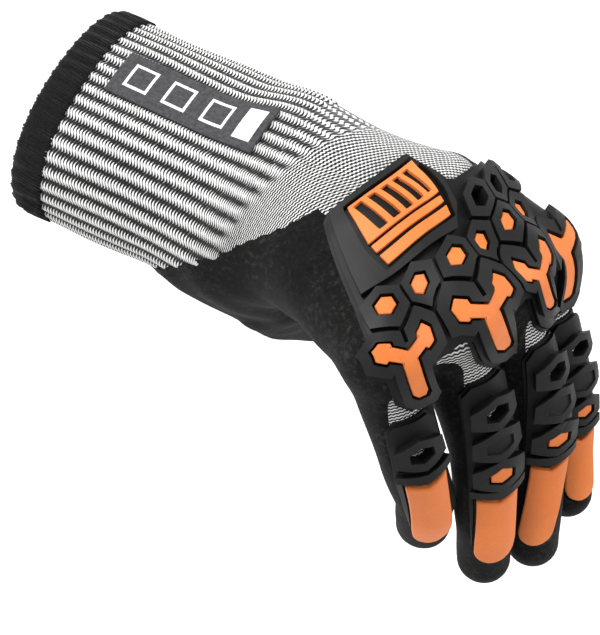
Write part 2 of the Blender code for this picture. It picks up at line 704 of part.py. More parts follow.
def y_outlines(name, half, end, stem):
    """Y between two cells: two arms, the hexagons at their ends and a wider stem."""
    cx, cy, w = Y_CELLS[name], 0.8660 + 0.289, half + 0.045
    if name == "little":     # seen edge on, so its arms are plain
        return [scaled(leaned(three_legs(cx, cy, half + 0.035, end + 0.465, stem), LEAN[name]))]
    leg = [(cx - w, cy + 0.02), (cx + w, cy + 0.02), (cx + w, cy + stem - 0.12), (cx + w * 0.5, cy + stem),
           (cx - w * 0.5, cy + stem), (cx - w, cy + stem - 0.12)]
    return [scaled(leaned(three_legs(cx, cy, half, 0.56, stem * 0.6), LEAN[name])),
            scaled(hexagon(cx - 0.5, 0.866, end, TURN)), scaled(hexagon(cx + 0.5, 0.866, end, TURN)),
            scaled(leaned(leg, LEAN[name]))]


def stem_body(name):
    cx = Y_CELLS[name]
    return leaned([(cx - 0.40, 0.95), (cx + 0.40, 0.95), (cx + 0.40, 2.18), (cx + 0.20, 2.43), (cx - 0.20, 2.43),
                   (cx - 0.40, 2.18)], LEAN[name])


def build_back(wrap):
    def place(across, along, height):
        return prong_place(across, along, height, wrap)
    regions = [(scaled(BACK_OUTLINE), GROOVE), (scaled(PANEL_EDGE), CELL_TOP), (scaled(PANEL_FLOOR), FLOOR)]
    for cell in PLUG_CELLS + OPEN_CELLS:
        x, y = cell_centre(*cell)
        regions.append((scaled(hexagon(x, y, 0.452, TURN)), CELL_TOP))
    for name, column in Y_CELLS.items():
        for c in (column, column + 1):
            x, y = cell_centre(c, 1)
            regions.append((scaled(hexagon(x, y, 0.452, TURN)), CELL_TOP))
        cx = column
        regions.append((scaled([(cx - 0.14, 0.84), (cx + 0.14, 0.84), (cx + 0.14, 1.35), (cx - 0.14, 1.35)]), CELL_TOP))
        regions.append((scaled(stem_body(name)), CELL_TOP))
    for cell in PLUG_CELLS + OPEN_CELLS:
        x, y = cell_centre(*cell)
        regions.append((scaled(hexagon(x, y, HEX_HOLE, TURN)), None))
    for name in Y_CELLS:
        regions += [(ring, None) for ring in y_outlines(name, 0.175, HEX_HOLE, 1.00)]
    v, f = plate(regions, GUARD_LOW, place)
    add_piece("back_guard", v, f, RUBBER)
    for k, cell in enumerate(PLUG_CELLS):
        x, y = cell_centre(*cell)
        v, f = plate([(scaled(hexagon(x, y, PLUG_SIZE, TURN)), PLUG_TOP)], GUARD_LOW, place)
        add_piece("hex_plug_%d" % (k + 1), v, f, ORANGE)
    for name, column in Y_CELLS.items():
        v, f = plate([(ring, PLUG_TOP + 0.2) for ring in y_outlines(name, 0.108, 0.180, 0.90)], GUARD_LOW, place)
        add_piece("y_insert_" + name, v, f, ORANGE)
    frame = [(scaled(FRAME_OUT), INSERT_TOP)]
    bars = 5
    for k in range(bars):
        s0, s1 = k / bars, (k + 0.62) / bars
        lean = 0.0
        frame.append((scaled([between(FRAME_IN, s0 + lean, 0), between(FRAME_IN, s1 + lean, 0),
                              between(FRAME_IN, min(s1 + 0.12, 1), 1), between(FRAME_IN, s0 + 0.12, 1)]), None))
    v, f = plate(frame, INSERT_LOW, place, grid=4.0)
    add_piece("panel_frame", v, f, ORANGE)
    for name, s in (("panel_bar_upper", ((0.30, -1.42), (2.40, -1.48), (2.46, -1.28), (0.36, -1.21))),
                    ("panel_bar_lower", ((0.40, -1.11), (2.48, -1.18), (2.48, -0.92), (0.50, -0.82)))):
        v, f = plate([(scaled(s), INSERT_TOP)], INSERT_LOW, place, grid=4.0)
        add_piece(name, v, f, ORANGE)


def chevron(y, half, rise, thick):
    return [(-half, y - thick * 0.5 - rise), (0, y - thick * 0.5 + rise * 0.2), (half, y - thick * 0.5 - rise),
            (half, y + thick * 0.5 - rise), (0, y + thick * 0.5 + rise * 0.6), (-half, y + thick * 0.5 - rise)]


def build_finger(name, wrap, row):
    place, h = wrap.place, row["half"]
    end = row["pad"] - 0.5
    outline = [(-h, row["start"] + 2.5), (-h + 2.2, row["start"]), (h - 2.2, row["start"]), (h, row["start"] + 2.5),
               (h, end - 1.6), (0, end + 0.6), (-h, end - 1.6)]
    regions = [(outline, GROOVE)]
    q = 4.05 * h / 6.4
    cells = [(row[k], k) for k in ("open", "plain", "plug") if row[k] is not None]
    for y, kind in cells:
        regions.append((hexagon(0, y, q, math.pi / 6, 1.22, 1.02), CELL_TOP))
    regions.append((chevron(row["chevron"], h - 0.9, 0.9, 2.2), CELL_TOP))
    for y, kind in cells:
        if kind != "plain":
            regions.append((hexagon(0, y, q * 0.50, math.pi / 6, 1.1, 1.02), None))
    v, f = plate(regions, GUARD_LOW, place, grid=4.0)
    add_piece(name + "_guard", v, f, RUBBER)
    if row["plug"] is not None:
        v, f = plate([(hexagon(0, row["plug"], q * 0.50 - 0.38, math.pi / 6, 1.1, 1.02), PLUG_TOP)], GUARD_LOW, place)
        add_piece(name + "_plug", v, f, ORANGE)
    w = row["pad_half"]
    top = row["pad"] + 0.9
    pad = [(w, top - 1.6), (0, top + 0.7), (-w, top - 1.6)]
    steps = 8
    for k in range(steps + 1):
        a = math.pi - math.pi * k / steps
        pad.append((w * math.cos(a), row["end"] - w + w * math.sin(a)))
    v, f = plate([(pad[::-1], 3.5)], GUARD_LOW, place, grid=4.0)
    add_piece(name + "_tip_pad", v, f, ORANGE)


# ---- cuff label, a thin plain patch on the back of the cuff ---------------------
LABEL_AREA = dict(x0=16.0, x1=62.0, angle0=-0.24, angle1=0.30, low=0.35, high=0.75)


def build_label():
    def place(across, along, height):
        s = np.asarray(along, float)
        ang = np.asarray(across, float)
        pos = np.stack([s, np.full_like(s, 2.0), np.full_like(s, 1.0)], 1)
        ray = np.stack([np.zeros_like(ang), np.sin(ang), np.cos(ang)], 1)
        r = np.full(len(s), 45.0)
        for _ in range(60):
            r = np.maximum(r - np.clip(glove_distance(pos + ray * r[:, None]), -2, 8) * 0.9, 0.5)
        p = pos + ray * r[:, None]
        return p + field_normal(p) * np.asarray(height)[:, None]
    L = LABEL_AREA
    k = 40.0      # flat millimetres a radian

    def flat_place(across, along, height):
        return place(np.asarray(across) / k, along, height)
    ring = [(L["angle0"] * k, L["x0"]), (L["angle1"] * k, L["x0"]), (L["angle1"] * k, L["x1"]), (L["angle0"] * k, L["x1"])]
    v, f = plate([(ring, L["high"])], L["low"], flat_place, grid=4.0)
    add_piece("cuff_label", v, f, LABEL)


def main():
    skin, tris = outer_skin()
    v, f = clip(skin, tris, skin[:, 0] - (HEM_LENGTH + PIECE_GAP))
    v, f = largest(v, f)
    n = field_normal(v)
    edge = np.abs(v[:, 0] - (HEM_LENGTH + PIECE_GAP)) < 1e-6
    n[edge, 0] = 0
    n /= np.linalg.norm(n, axis=1, keepdims=True)
    liner_v, liner_f = thicken(v, f, n, -KNIT_WALL, 0.0)
    add_piece("knit_liner", liner_v, liner_f, KNIT)
    c = coat_distance(v)
    cv, cf = clip(v, f, c, snap=0.2)
    cv, cf = largest(cv, cf)
    cv, cf = open_pinches(cv, cf)
    cv, cf = largest(cv, cf)
    coat_v, coat_f = thicken(cv, cf, field_normal(cv), COAT_LOW, COAT_HIGH)
    add_piece("palm_coating", coat_v, coat_f, COAT)

    rows, ring = 2, 40
    s = np.repeat(np.linspace(0.0, HEM_LENGTH, rows), ring)
    a = np.tile(np.arange(ring) * 2 * math.pi / ring, rows)
    ray = np.stack([np.zeros_like(a), np.cos(a), np.sin(a)], 1)
    pos = np.stack([s, np.full_like(s, 1.0), np.full_like(s, 0.5)], 1)
    r = np.full(len(s), 45.0)
    for _ in range(60):
        r = np.maximum(r - np.clip(glove_distance(pos + ray * r[:, None]), -2, 8) * 0.9, 0.5)
    hv = pos + ray * r[:, None]
    hf = []
    for i in range(rows - 1):
        for j in range(ring):
            p, q = i * ring + j, i * ring + (j + 1) % ring
            hf += [[p, q, q + ring], [p, q + ring, p + ring]]
    flip = np.dot(np.cross(hv[hf[0][1]] - hv[hf[0][0]], hv[hf[0][2]] - hv[hf[0][0]]), ray[0]) < 0
    if flip:
        hf = [t[::-1] for t in hf]
    hem_v, hem_f = thicken(hv, hf, ray, -KNIT_WALL - 0.2, 0.4)
    add_piece("cuff_hem", hem_v, hem_f, HEM)

    wraps = make_wraps()
    build_back(wraps["back"])
    for name, row in FINGER_GUARD.items():
        build_finger(name, wraps[name], row)
    build_label()


main()
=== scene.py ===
"""Looks of the impact work glove: knit, dipped coating, moulded guards and hem."""
import math
import bpy
import bmesh
import numpy as np
from mathutils import Matrix, Vector
from mathutils.geometry import delaunay_2d_cdt


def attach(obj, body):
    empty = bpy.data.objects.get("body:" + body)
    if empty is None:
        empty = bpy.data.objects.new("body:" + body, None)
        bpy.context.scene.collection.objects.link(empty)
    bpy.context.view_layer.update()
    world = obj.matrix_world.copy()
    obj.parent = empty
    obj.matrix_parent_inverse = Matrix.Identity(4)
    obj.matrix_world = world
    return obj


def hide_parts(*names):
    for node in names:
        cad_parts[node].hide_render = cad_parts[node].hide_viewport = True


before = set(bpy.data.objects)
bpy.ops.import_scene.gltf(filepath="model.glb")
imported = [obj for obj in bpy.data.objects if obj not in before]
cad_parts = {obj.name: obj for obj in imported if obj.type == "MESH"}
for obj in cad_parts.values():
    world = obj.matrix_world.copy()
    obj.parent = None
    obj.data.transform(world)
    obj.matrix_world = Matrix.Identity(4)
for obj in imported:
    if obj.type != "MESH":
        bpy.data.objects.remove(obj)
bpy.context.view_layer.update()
scene = bpy.context.scene
MM = 0.001
GRID = 2.2                # spacing of points on wide moulded faces
HEX_HOLE, PLUG_SIZE = 0.250, 0.205   # open part of a hexagon and its plug, in pitches


# Soft form: a chain is a row of balls joined by cones; columns are name, x, y, z, radius
CUFF = [
    [("hem_thumb", -14, -7, 0, 24.5), ("wrist_thumb", 60, -6, 2, 24.0)],
    [("hem_little", -14, 8, 0, 24.5), ("wrist_little", 60, 10, 2, 23.0)],
]
PALM = [
    [("carpus_index", 66, -2, 4, 20.5), ("mid_index", 97, -21, 17.5, 14.5), ("knuckle_index", 118.5, -35.5, 22, 11.2)],
    [("carpus_middle", 70, 2, 7, 21), ("mid_middle", 103, -9, 19, 15.5), ("knuckle_middle", 127, -16.5, 19.5, 12.8)],
    [("carpus_ring", 70, 7, 4, 20), ("mid_ring", 107, 7, 14.5, 14.5), ("knuckle_ring", 131.5, 4, 10.5, 12.4)],
    [("carpus_little", 68, 9, 0, 18.5), ("mid_little", 105.5, 20.5, 6, 14), ("knuckle_little", 133, 21, -3, 11.6)],
]
THUMB = [("thumb_root", 60, -11, -3, 18), ("thumb_ball", 70, -9, -23, 13.5), ("thumb_knuckle", 69, -1, -44, 11.2),
         ("thumb_joint", 72, 10, -62, 10), ("thumb_tip", 76, 19, -76, 8.6)]
FINGERS = {
    "index": [("knuckle", 119, -36.8, 21.5, 9.6), ("middle_joint", 134.2, -46.1, -7.4, 7.8), ("end_joint", 139.7, -47.1, -24, 7.2), ("tip", 139.4, -46.4, -40, 6.8)],
    "middle": [("knuckle", 127, -16.5, 19.5, 10.2), ("middle_joint", 146.8, -28.8, -17.9, 8.1), ("end_joint", 153.4, -36.5, -41.5, 7.4), ("tip", 155.9, -39.7, -57.2, 6.8)],
    "ring": [("knuckle", 131.5, 4.3, 10.5, 10.0), ("middle_joint", 153.9, -10.3, -22.1, 8.0), ("end_joint", 161.3, -20.7, -45.8, 7.4), ("tip", 165.1, -26.9, -60.5, 6.8)],
    "little": [("knuckle", 132.5, 21.5, -3, 9.2), ("middle_joint", 152.3, 7.9, -28.5, 7.4), ("end_joint", 161.1, 0.2, -48.9, 6.9), ("tip", 167.1, -8.5, -60.9, 6.4)],
}
BLEND_PALM, BLEND_FINGER, BLEND_THUMB = 11.0, 5.0, 10.0


def chain_distance(points, chain):
    """Distance to a chain of balls joined by cones."""
    best = None
    for (_, x0, y0, z0, r0), (_, x1, y1, z1, r1) in zip(chain[:-1], chain[1:]):
        a = np.array((x0, y0, z0), float)
        ab = np.array((x1, y1, z1), float) - a
        t = np.clip(((points - a) @ ab) / (ab @ ab), 0, 1)
        d = np.linalg.norm(points - a - t[:, None] * ab, axis=1) - (r0 + (r1 - r0) * t)
        best = d if best is None else np.minimum(best, d)
    return best


def soft_min(a, b, width):
    h = np.maximum(width - np.abs(a - b), 0) / width
    return np.minimum(a, b) - h * h * width * 0.25


def glove_distance(points, between=3.2):
    """Signed distance to the outside of the knit, in millimetres."""
    d = chain_distance(points, CUFF[0])
    d = soft_min(d, chain_distance(points, CUFF[1]), BLEND_PALM)
    for chain in PALM:
        d = soft_min(d, chain_distance(points, chain), BLEND_PALM)
    d = soft_min(d, chain_distance(points, THUMB), BLEND_THUMB)
    f = None
    for chain in FINGERS.values():
        c = chain_distance(points, chain)
        f = c if f is None else soft_min(f, c, between)
    return soft_min(d, f, BLEND_FINGER)


def back_distance(points):
    """The same form with its finger gaps bridged, as the moulded guard spans them."""
    return glove_distance(points, 13.0)


def surface_nets(field, low, high, step):
    """Closed quad mesh where the field is zero."""
    axes = [np.arange(l, h + step, step) for l, h in zip(low, high)]
    grid = np.stack(np.meshgrid(*axes, indexing="ij"), -1)
    shape = grid.shape[:3]
    value = field(grid.reshape(-1, 3)).reshape(shape)
    inside = value < 0
    n = [s - 1 for s in shape]
    total = np.zeros(n + [3]); count = np.zeros(n)
    for axis in range(3):
        o1, o2 = [k for k in range(3) if k != axis]
        lo = [slice(None)] * 3; hi = [slice(None)] * 3
        lo[axis] = slice(0, -1); hi[axis] = slice(1, None)
        v0, v1 = value[tuple(lo)], value[tuple(hi)]
        cross = (v0 < 0) != (v1 < 0)
        t = np.where(cross, v0 / np.where(cross, v0 - v1, 1), 0)
        p = grid[tuple(lo)] + t[..., None] * (grid[tuple(hi)] - grid[tuple(lo)])
        p = p * cross[..., None]
        for i in (0, 1):
            for j in (0, 1):
                s = [slice(None)] * 3
                s[o1] = slice(i, shape[o1] - 1 + i); s[o2] = slice(j, shape[o2] - 1 + j)
                total += p[tuple(s)]; count += cross[tuple(s)]
    mask = count > 0
    index = -np.ones(n, int)
    index[mask] = np.arange(mask.sum())
    verts = total[mask] / count[mask][:, None]
    faces = []
    for axis in range(3):
        o1, o2 = (axis + 1) % 3, (axis + 2) % 3
        lo = [slice(None)] * 3; hi = [slice(None)] * 3
        lo[axis] = slice(0, -1); hi[axis] = slice(1, None)
        a, b = inside[tuple(lo)], inside[tuple(hi)]
        for sign in (True, False):
            where = np.argwhere((a == sign) & (b == (not sign)))
            where = where[(where[:, o1] > 0) & (where[:, o2] > 0) & (where[:, o1] < shape[o1] - 1) & (where[:, o2] < shape[o2] - 1)]
            ring = []
            for i, j in ((0, 0), (-1, 0), (-1, -1), (0, -1)):
                q = where.copy(); q[:, o1] += i; q[:, o2] += j
                ring.append(index[q[:, 0], q[:, 1], q[:, 2]])
            ring = np.stack(ring, 1)
            faces.append(ring if sign else ring[:, ::-1])
    return verts, np.concatenate(faces)


def field_normal(points, field=glove_distance, e=0.4):
    g = np.stack([field(points + np.eye(3)[k] * e) - field(points - np.eye(3)[k] * e) for k in range(3)], 1)
    return g / np.maximum(np.linalg.norm(g, axis=1, keepdims=True), 1e-9)


def unit(v):
    v = np.asarray(v, float)
    return v / np.linalg.norm(v)


class Wrap:
    """Flat measures (across, along, height) laid on the glove around a bent axis.

    across and along are millimetres of surface from the reference line, height is
    millimetres above the knit.
    """

    def __init__(self, axis, up, up_end, field, reach=(-2.6, 2.6), row=0.5):
        self.axis = [np.array(p, float) for p in axis]
        self.up, self.up_end = unit(up), unit(up_end)
        self.field = field
        s = np.linspace(0, 1, 81)
        line = self.cast(np.zeros_like(s), s, 0.0)
        self.s_table = s
        self.b_table = np.concatenate(([0], np.cumsum(np.linalg.norm(np.diff(line, axis=0), axis=1))))
        self.length = self.b_table[-1]
        ang = np.linspace(reach[0], reach[1], 161)
        ring = self.cast(ang, np.full_like(ang, row), 0.0)
        run = np.concatenate(([0], np.cumsum(np.linalg.norm(np.diff(ring, axis=0), axis=1))))
        self.a_table, self.angle_table = run - np.interp(0, ang, run), ang

    def frame(self, s):
        p = self.axis
        s = np.asarray(s, float)[:, None]
        if len(p) == 3:
            pos = (1 - s) ** 2 * p[0] + 2 * s * (1 - s) * p[1] + s * s * p[2]
            tan = 2 * (1 - s) * (p[1] - p[0]) + 2 * s * (p[2] - p[1])
        else:
            pos = ((1 - s) ** 3 * p[0] + 3 * s * (1 - s) ** 2 * p[1] + 3 * s * s * (1 - s) * p[2] + s ** 3 * p[3])
            tan = 3 * (1 - s) ** 2 * (p[1] - p[0]) + 6 * s * (1 - s) * (p[2] - p[1]) + 3 * s * s * (p[3] - p[2])
        tan /= np.linalg.norm(tan, axis=1, keepdims=True)
        side = np.cross(tan, self.up * (1 - s) + self.up_end * s)
        side /= np.linalg.norm(side, axis=1, keepdims=True)
        side = -side
        return pos, tan, side, np.cross(tan, side)

    def cast(self, angle, s, height, far=45.0):
        pos, tan, side, nor = self.frame(s)
        ray = nor * np.cos(angle)[:, None] + side * np.sin(angle)[:, None]
        hi = np.full(len(pos), far); lo = np.zeros(len(pos))
        # the outermost crossing, so step inwards from outside
        r = np.full(len(pos), far)
        for _ in range(60):
            d = self.field(pos + ray * r[:, None])
            r = np.maximum(r - np.clip(d, -2, 8) * 0.9, 0.5)
        point = pos + ray * r[:, None]
        if np.any(np.asarray(height) != 0):
            n = field_normal(point, self.field)
            point = point + n * np.broadcast_to(height, (len(point),))[:, None]
        return point

    def place(self, across, along, height):
        across, along = np.asarray(across, float), np.asarray(along, float)
        angle = np.interp(across, self.a_table, self.angle_table)
        s = np.interp(along, self.b_table, self.s_table)
        return self.cast(angle, s, height)


# ---- lay of the moulded pieces -------------------------------------------------
# back guard: three points of a bent line inside the hand, and the way it faces
BACK_AXIS = [(75.5, 3.2, -7.4), (99.0, -8.9, -10.4), (147.0, -60.8, -23.6)]
BACK_UP = (-1.25, 0.80, 1.0)
BACK_START = (15.1, 56.0)        # across and along of the first hexagon
BACK_TURN = -0.36                # radians the rows are turned
PITCH_ACROSS, PITCH_ALONG = 10.3, 12.4

# fingers: the way each back faces at the knuckle and at the tip
FINGER_UP = {
    "index": ((0.43, -0.33, 0.84), (0.25, -0.44, 0.86)),
    "middle": ((0.71, -0.07, 0.70), (0.25, -0.44, 0.86)),
    "ring": ((0.88, 0.21, 0.43), (0.02, -0.55, 0.83)),
    "little": ((0.81, 0.07, 0.58), (0.47, -0.30, 0.83)),
}
# columns: millimetres along the finger's back to the guard's start, the open
# hexagon, the plain hexagon, the plugged hexagon, the chevron, the tip pad's
# start and end, then the half widths of the guard and the pad
FINGER_GUARD = {
    "index": dict(start=16.3, open=25.9, plain=None, plug=None, chevron=33.2, pad=36.2, end=63.0, half=6.4, pad_half=4.4),
    "middle": dict(start=18.2, open=27.6, plain=37.4, plug=47.0, chevron=53.0, pad=56.2, end=80.0, half=6.6, pad_half=4.9),
    "ring": dict(start=19.6, open=27.8, plain=37.4, plug=46.8, chevron=52.8, pad=56.0, end=83.0, half=6.2, pad_half=4.6),
    "little": dict(start=18.6, open=27.0, plain=36.4, plug=45.6, chevron=51.2, pad=54.2, end=74.5, half=5.4, pad_half=4.2),
}


def finger_axis(chain):
    p = [np.array(c[1:4], float) for c in chain]
    return [p[0], p[1], p[2], p[3] + unit(p[3] - p[2]) * chain[3][4] * 0.9]


def make_wraps():
    wraps = {"back": Wrap(BACK_AXIS, BACK_UP, BACK_UP, back_distance, reach=(-1.6, 1.8))}
    for name, chain in FINGERS.items():
        up, up_end = FINGER_UP[name]
        wraps[name] = Wrap(finger_axis(chain), up, up_end, lambda q, c=chain: chain_distance(q, c), reach=(-2, 2))
    return wraps


def back_to_mm(a, b):
    """Guard pitches (across, along) to millimetres on the back of the hand."""
    a, b = np.asarray(a, float), np.asarray(b, float)
    c, s = math.cos(BACK_TURN), math.sin(BACK_TURN)
    return BACK_START[0] + (a * c - b * s) * PITCH_ACROSS, BACK_START[1] + (a * s + b * c) * PITCH_ALONG


# three prongs run over their knuckles: where each Y lies and how far a pitch goes,
# in the glove's plan seen from above its back (1/3.75 mm); columns are the column
# of cells, x and y of the Y's centre, then x and y a pitch across and a pitch along
PLAN_FORWARD = (0.87, -0.425, 0.25)
PLAN_ORIGIN = (72.0, 112.0, -38.0)
PRONG_PLAN = {
    "index": (0, 403.0, 356.0, 34.0, -14.0, 10.6, 34.0),
    "middle": (2, 481.0, 311.0, 33.0, -21.0, 12.7, 34.4),
    "ring": (4, 531.0, 276.0, 16.5, -14.0, 8.0, 28.5),
}
PLAN_END = 4.65          # columns past this one follow the hand's side


def plan_axes():
    forward = unit(np.array(PLAN_FORWARD))
    e = math.atan2(-forward[1], forward[2])
    up = np.array((0, math.cos(e), math.sin(e)))
    return forward, np.cross(up, forward), up


def plan_point(px, py, depth):
    """A point of the plan, depth millimetres nearer the eye than its origin."""
    f, s, u = plan_axes()
    scale = 3.75 * 600.0 / (600.0 - depth)
    zero = 3.75 * 600.0 / (600.0 - PLAN_ORIGIN[2])
    v = np.stack([(px - 300) / scale - (PLAN_ORIGIN[0] - 300) / zero,
                  (317.5 - py) / scale - (317.5 - PLAN_ORIGIN[1]) / zero,
                  np.broadcast_to(depth - PLAN_ORIGIN[2], np.shape(px))], 1)
    return np.stack([v @ f, v @ s, v @ u], 1)


def prong_place(across, along, height, wrap):
    """The back guard's own wrap, turned over the knuckles at its prongs."""
    across, along = np.asarray(across, float), np.asarray(along, float)
    height = np.broadcast_to(np.asarray(height, float), across.shape)
    usual = wrap.place(across, along, height)
    c, s = math.cos(BACK_TURN), math.sin(BACK_TURN)
    x, y = (across - BACK_START[0]) / PITCH_ACROSS, (along - BACK_START[1]) / PITCH_ALONG
    a, b = x * c + y * s, -x * s + y * c
    t, r = np.clip((b - 0.35) / 0.75, 0, 1), np.clip((PLAN_END + 0.4 - a) / 0.8, 0, 1)
    w = t * t * (3 - 2 * t) * r * r * (3 - 2 * r)
    near = w > 0
    if not np.any(near):
        return usual
    px = np.zeros(near.sum()); py = np.zeros(near.sum()); share = np.zeros(near.sum())
    for column, x0, y0, ax, ay, bx, by in PRONG_PLAN.values():
        d = a[near] - column
        if column == 0:
            d = np.maximum(d, 0)
        if column == 4:
            d = np.minimum(d, 0)
        k = np.clip((1.2 - np.abs(d)) / 0.4, 0, 1)
        k = k * k * (3 - 2 * k) + 1e-9
        px += k * (x0 + (a[near] - column) * ax + (b[near] - 1.155) * bx)
        py += k * (y0 + (a[near] - column) * ay + (b[near] - 1.155) * by)
        share += k
    px, py = px / share, py / share
    start = plan_point(px, py, 75.0)
    way = plan_point(px, py, 0.0) - start
    way /= np.linalg.norm(way, axis=1, keepdims=True)
    r = np.zeros(len(px))
    for _ in range(90):
        r = np.minimum(r + np.clip(back_distance(start + way * r[:, None]), -1, 12) * 0.8, 110)
    point = start + way * np.clip(r, 0, 110)[:, None]
    w[near] *= np.clip(2.0 - np.abs(back_distance(point)), 0, 1)
    point = point + field_normal(point, back_distance) * height[near][:, None]
    out = usual.copy()
    out[near] = usual[near] * (1 - w[near][:, None]) + point * w[near][:, None]
    return out


# where the dipped coating reaches: a slanted line round the wrist, the edge of
# the back guard on the thumb side, and half way up the sides elsewhere
WRIST_LINE = [(47, -26, -6), (88, -14, 34), (44, 10, -24)]
THUMB_SIDE = dict(point=(101.4, -19, 31.4), across=(0.36, 0.90, -0.25))
PALM_SIDE = dict(point=(108, -8, 11), up=(-0.15, -0.05, 0.98))
STRIP_HALF = dict(index=5.0, middle=5.6, ring=5.4, little=4.9)   # bare knit on each finger's back


def coat_distance(points):
    """Millimetres inside the dipped coating's edge, negative on bare knit."""
    p = np.asarray(points, float)
    a, b, c = [np.array(q, float) for q in WRIST_LINE]
    n = unit(np.cross(b - a, c - a))
    if n[0] < 0:
        n = -n
    wrist = (p - a) @ n
    thumb = -(p - np.array(THUMB_SIDE["point"], float)) @ unit(THUMB_SIDE["across"])
    palm = -(p - np.array(PALM_SIDE["point"], float)) @ unit(PALM_SIDE["up"])
    hand = np.maximum(thumb, palm)
    d_hand = None
    for chain in PALM:
        d = chain_distance(p, chain)
        d_hand = d if d_hand is None else np.minimum(d_hand, d)
    d_thumb = chain_distance(p, THUMB)
    near = np.full(len(p), 1e9); finger = np.full(len(p), -1e9)
    for name, chain in FINGERS.items():
        up, up_end = [unit(v) for v in FINGER_UP[name]]
        axis = np.array([q[1:4] for q in chain], float)
        radius = np.array([q[4] for q in chain], float)
        d = chain_distance(p, chain)
        best = np.full(len(p), 1e9); value = np.zeros(len(p))
        done, total = 0.0, np.sum(np.linalg.norm(np.diff(axis, axis=0), axis=1))
        for k in range(3):
            ab = axis[k + 1] - axis[k]; length = np.linalg.norm(ab); t = ((p - axis[k]) @ ab) / length
            tc = np.clip(t / length, 0, 1)
            q = axis[k] + tc[:, None] * ab
            gap = np.linalg.norm(p - q, axis=1)
            s = (done + tc * length) / total
            tan = ab / length
            u = up[None] * (1 - s[:, None]) + up_end[None] * s[:, None]
            u = u - (u @ tan)[:, None] * tan
            u /= np.linalg.norm(u, axis=1, keepdims=True)
            r = p - q
            rr = r - (r @ tan)[:, None] * tan
            cosine = np.clip(np.sum(rr * u, 1) / np.maximum(np.linalg.norm(rr, axis=1), 1e-6), -1, 1)
            rad = radius[k] + (radius[k + 1] - radius[k]) * tc
            v = np.arccos(cosine) * rad - STRIP_HALF[name]
            v = np.maximum(v, done + t - (0.93 * FINGER_GUARD[name]["pad"] - 5.0))
            better = gap < best
            value = np.where(better, v, value); best = np.where(better, gap, best)
            done += length
        closer = d < near
        finger = np.where(closer, value, finger); near = np.where(closer, d, near)
    w = 1 / (1 + np.exp(np.clip((near - d_hand) / 1.5, -30, 30)))
    hand = np.where(d_thumb < np.minimum(d_hand, near) - 1, np.maximum(hand, 6.0), hand)
    return np.minimum(w * finger + (1 - w) * hand, wrist)


def plate(regions, low, to_space, grid=GRID):
    """Closed moulded piece over flat polygons.

    regions is a list of (polygon, top height); a later one covers an earlier one,
    and a height of None is a hole. to_space takes across, along and height.
    """
    points, loops = [], []
    for polygon, _ in regions:
        ring = []
        for i, (x0, y0) in enumerate(polygon):
            x1, y1 = polygon[(i + 1) % len(polygon)]
            parts = max(1, int(math.ceil(math.hypot(x1 - x0, y1 - y0) / grid)))
            for k in range(parts):
                ring.append(len(points))
                points.append((x0 + (x1 - x0) * k / parts, y0 + (y1 - y0) * k / parts))
        loops.append(ring)
    xs = [p[0] for p in regions[0][0]]; ys = [p[1] for p in regions[0][0]]
    rim = np.array(points)
    gx = np.arange(min(xs) + grid * 0.5, max(xs), grid)
    gy = np.arange(min(ys) + grid * 0.5, max(ys), grid)
    for j, y in enumerate(gy):
        for x in gx + (grid * 0.5 if j % 2 else 0):
            if np.min(np.hypot(rim[:, 0] - x, rim[:, 1] - y)) > grid * 0.55:
                points.append((x, y))
    flat, _, tris, _, _, owner = delaunay_2d_cdt([Vector(p) for p in points], [], loops, 0, 1e-4)
    flat = [(p.x, p.y) for p in flat]
    tops = []
    for own in owner:
        tops.append(regions[max(own)][1] if own else None)
    heights = {}
    for t, top in zip(tris, tops):
        for i in t:
            heights.setdefault(i, set()).add(low if top is None else top)
            heights[i].add(low)
    index, verts = {}, []

    def vertex(i, h):
        key = (i, round(h, 4))
        if key not in index:
            index[key] = len(verts)
            verts.append((flat[i][0], flat[i][1], h))
        return index[key]

    def ccw(t):
        a, b, c = [flat[i] for i in t]
        return (b[0] - a[0]) * (c[1] - a[1]) - (b[1] - a[1]) * (c[0] - a[0]) > 0

    faces, side = [], {}
    for t, top in zip(tris, tops):
        t = list(t) if ccw(t) else list(t)[::-1]
        level = low if top is None else top
        if top is not None:
            faces.append([vertex(i, top) for i in t])
            faces.append([vertex(i, low) for i in t[::-1]])
        for k in range(3):
            side[(t[k], t[(k + 1) % 3])] = level
    for (a, b), level in side.items():
        other = side.get((b, a), low)
        if level > other:
            left = sorted(h for h in heights[a] if other - 1e-6 <= h <= level + 1e-6)
            right = sorted(h for h in heights[b] if other - 1e-6 <= h <= level + 1e-6)
            i = j = 0
            while i < len(left) - 1 or j < len(right) - 1:
                step_left = j == len(right) - 1 or (i < len(left) - 1 and left[i + 1] <= right[j + 1])
                if step_left:
                    faces.append([vertex(a, left[i]), vertex(b, right[j]), vertex(a, left[i + 1])])
                    i += 1
                else:
                    faces.append([vertex(a, left[i]), vertex(b, right[j]), vertex(b, right[j + 1])])
                    j += 1
    v = np.array(verts)
    # across, along and height turn the other way round from X, Y and Z
    return to_space(v[:, 0], v[:, 1], v[:, 2]), [f[::-1] for f in faces]


def hexagon(cx, cy, apothem, start=0.0, sx=1.0, sy=1.0):
    r = apothem / math.cos(math.pi / 6)
    return [(cx + sx * r * math.cos(start + k * math.pi / 3), cy + sy * r * math.sin(start + k * math.pi / 3)) for k in range(6)]


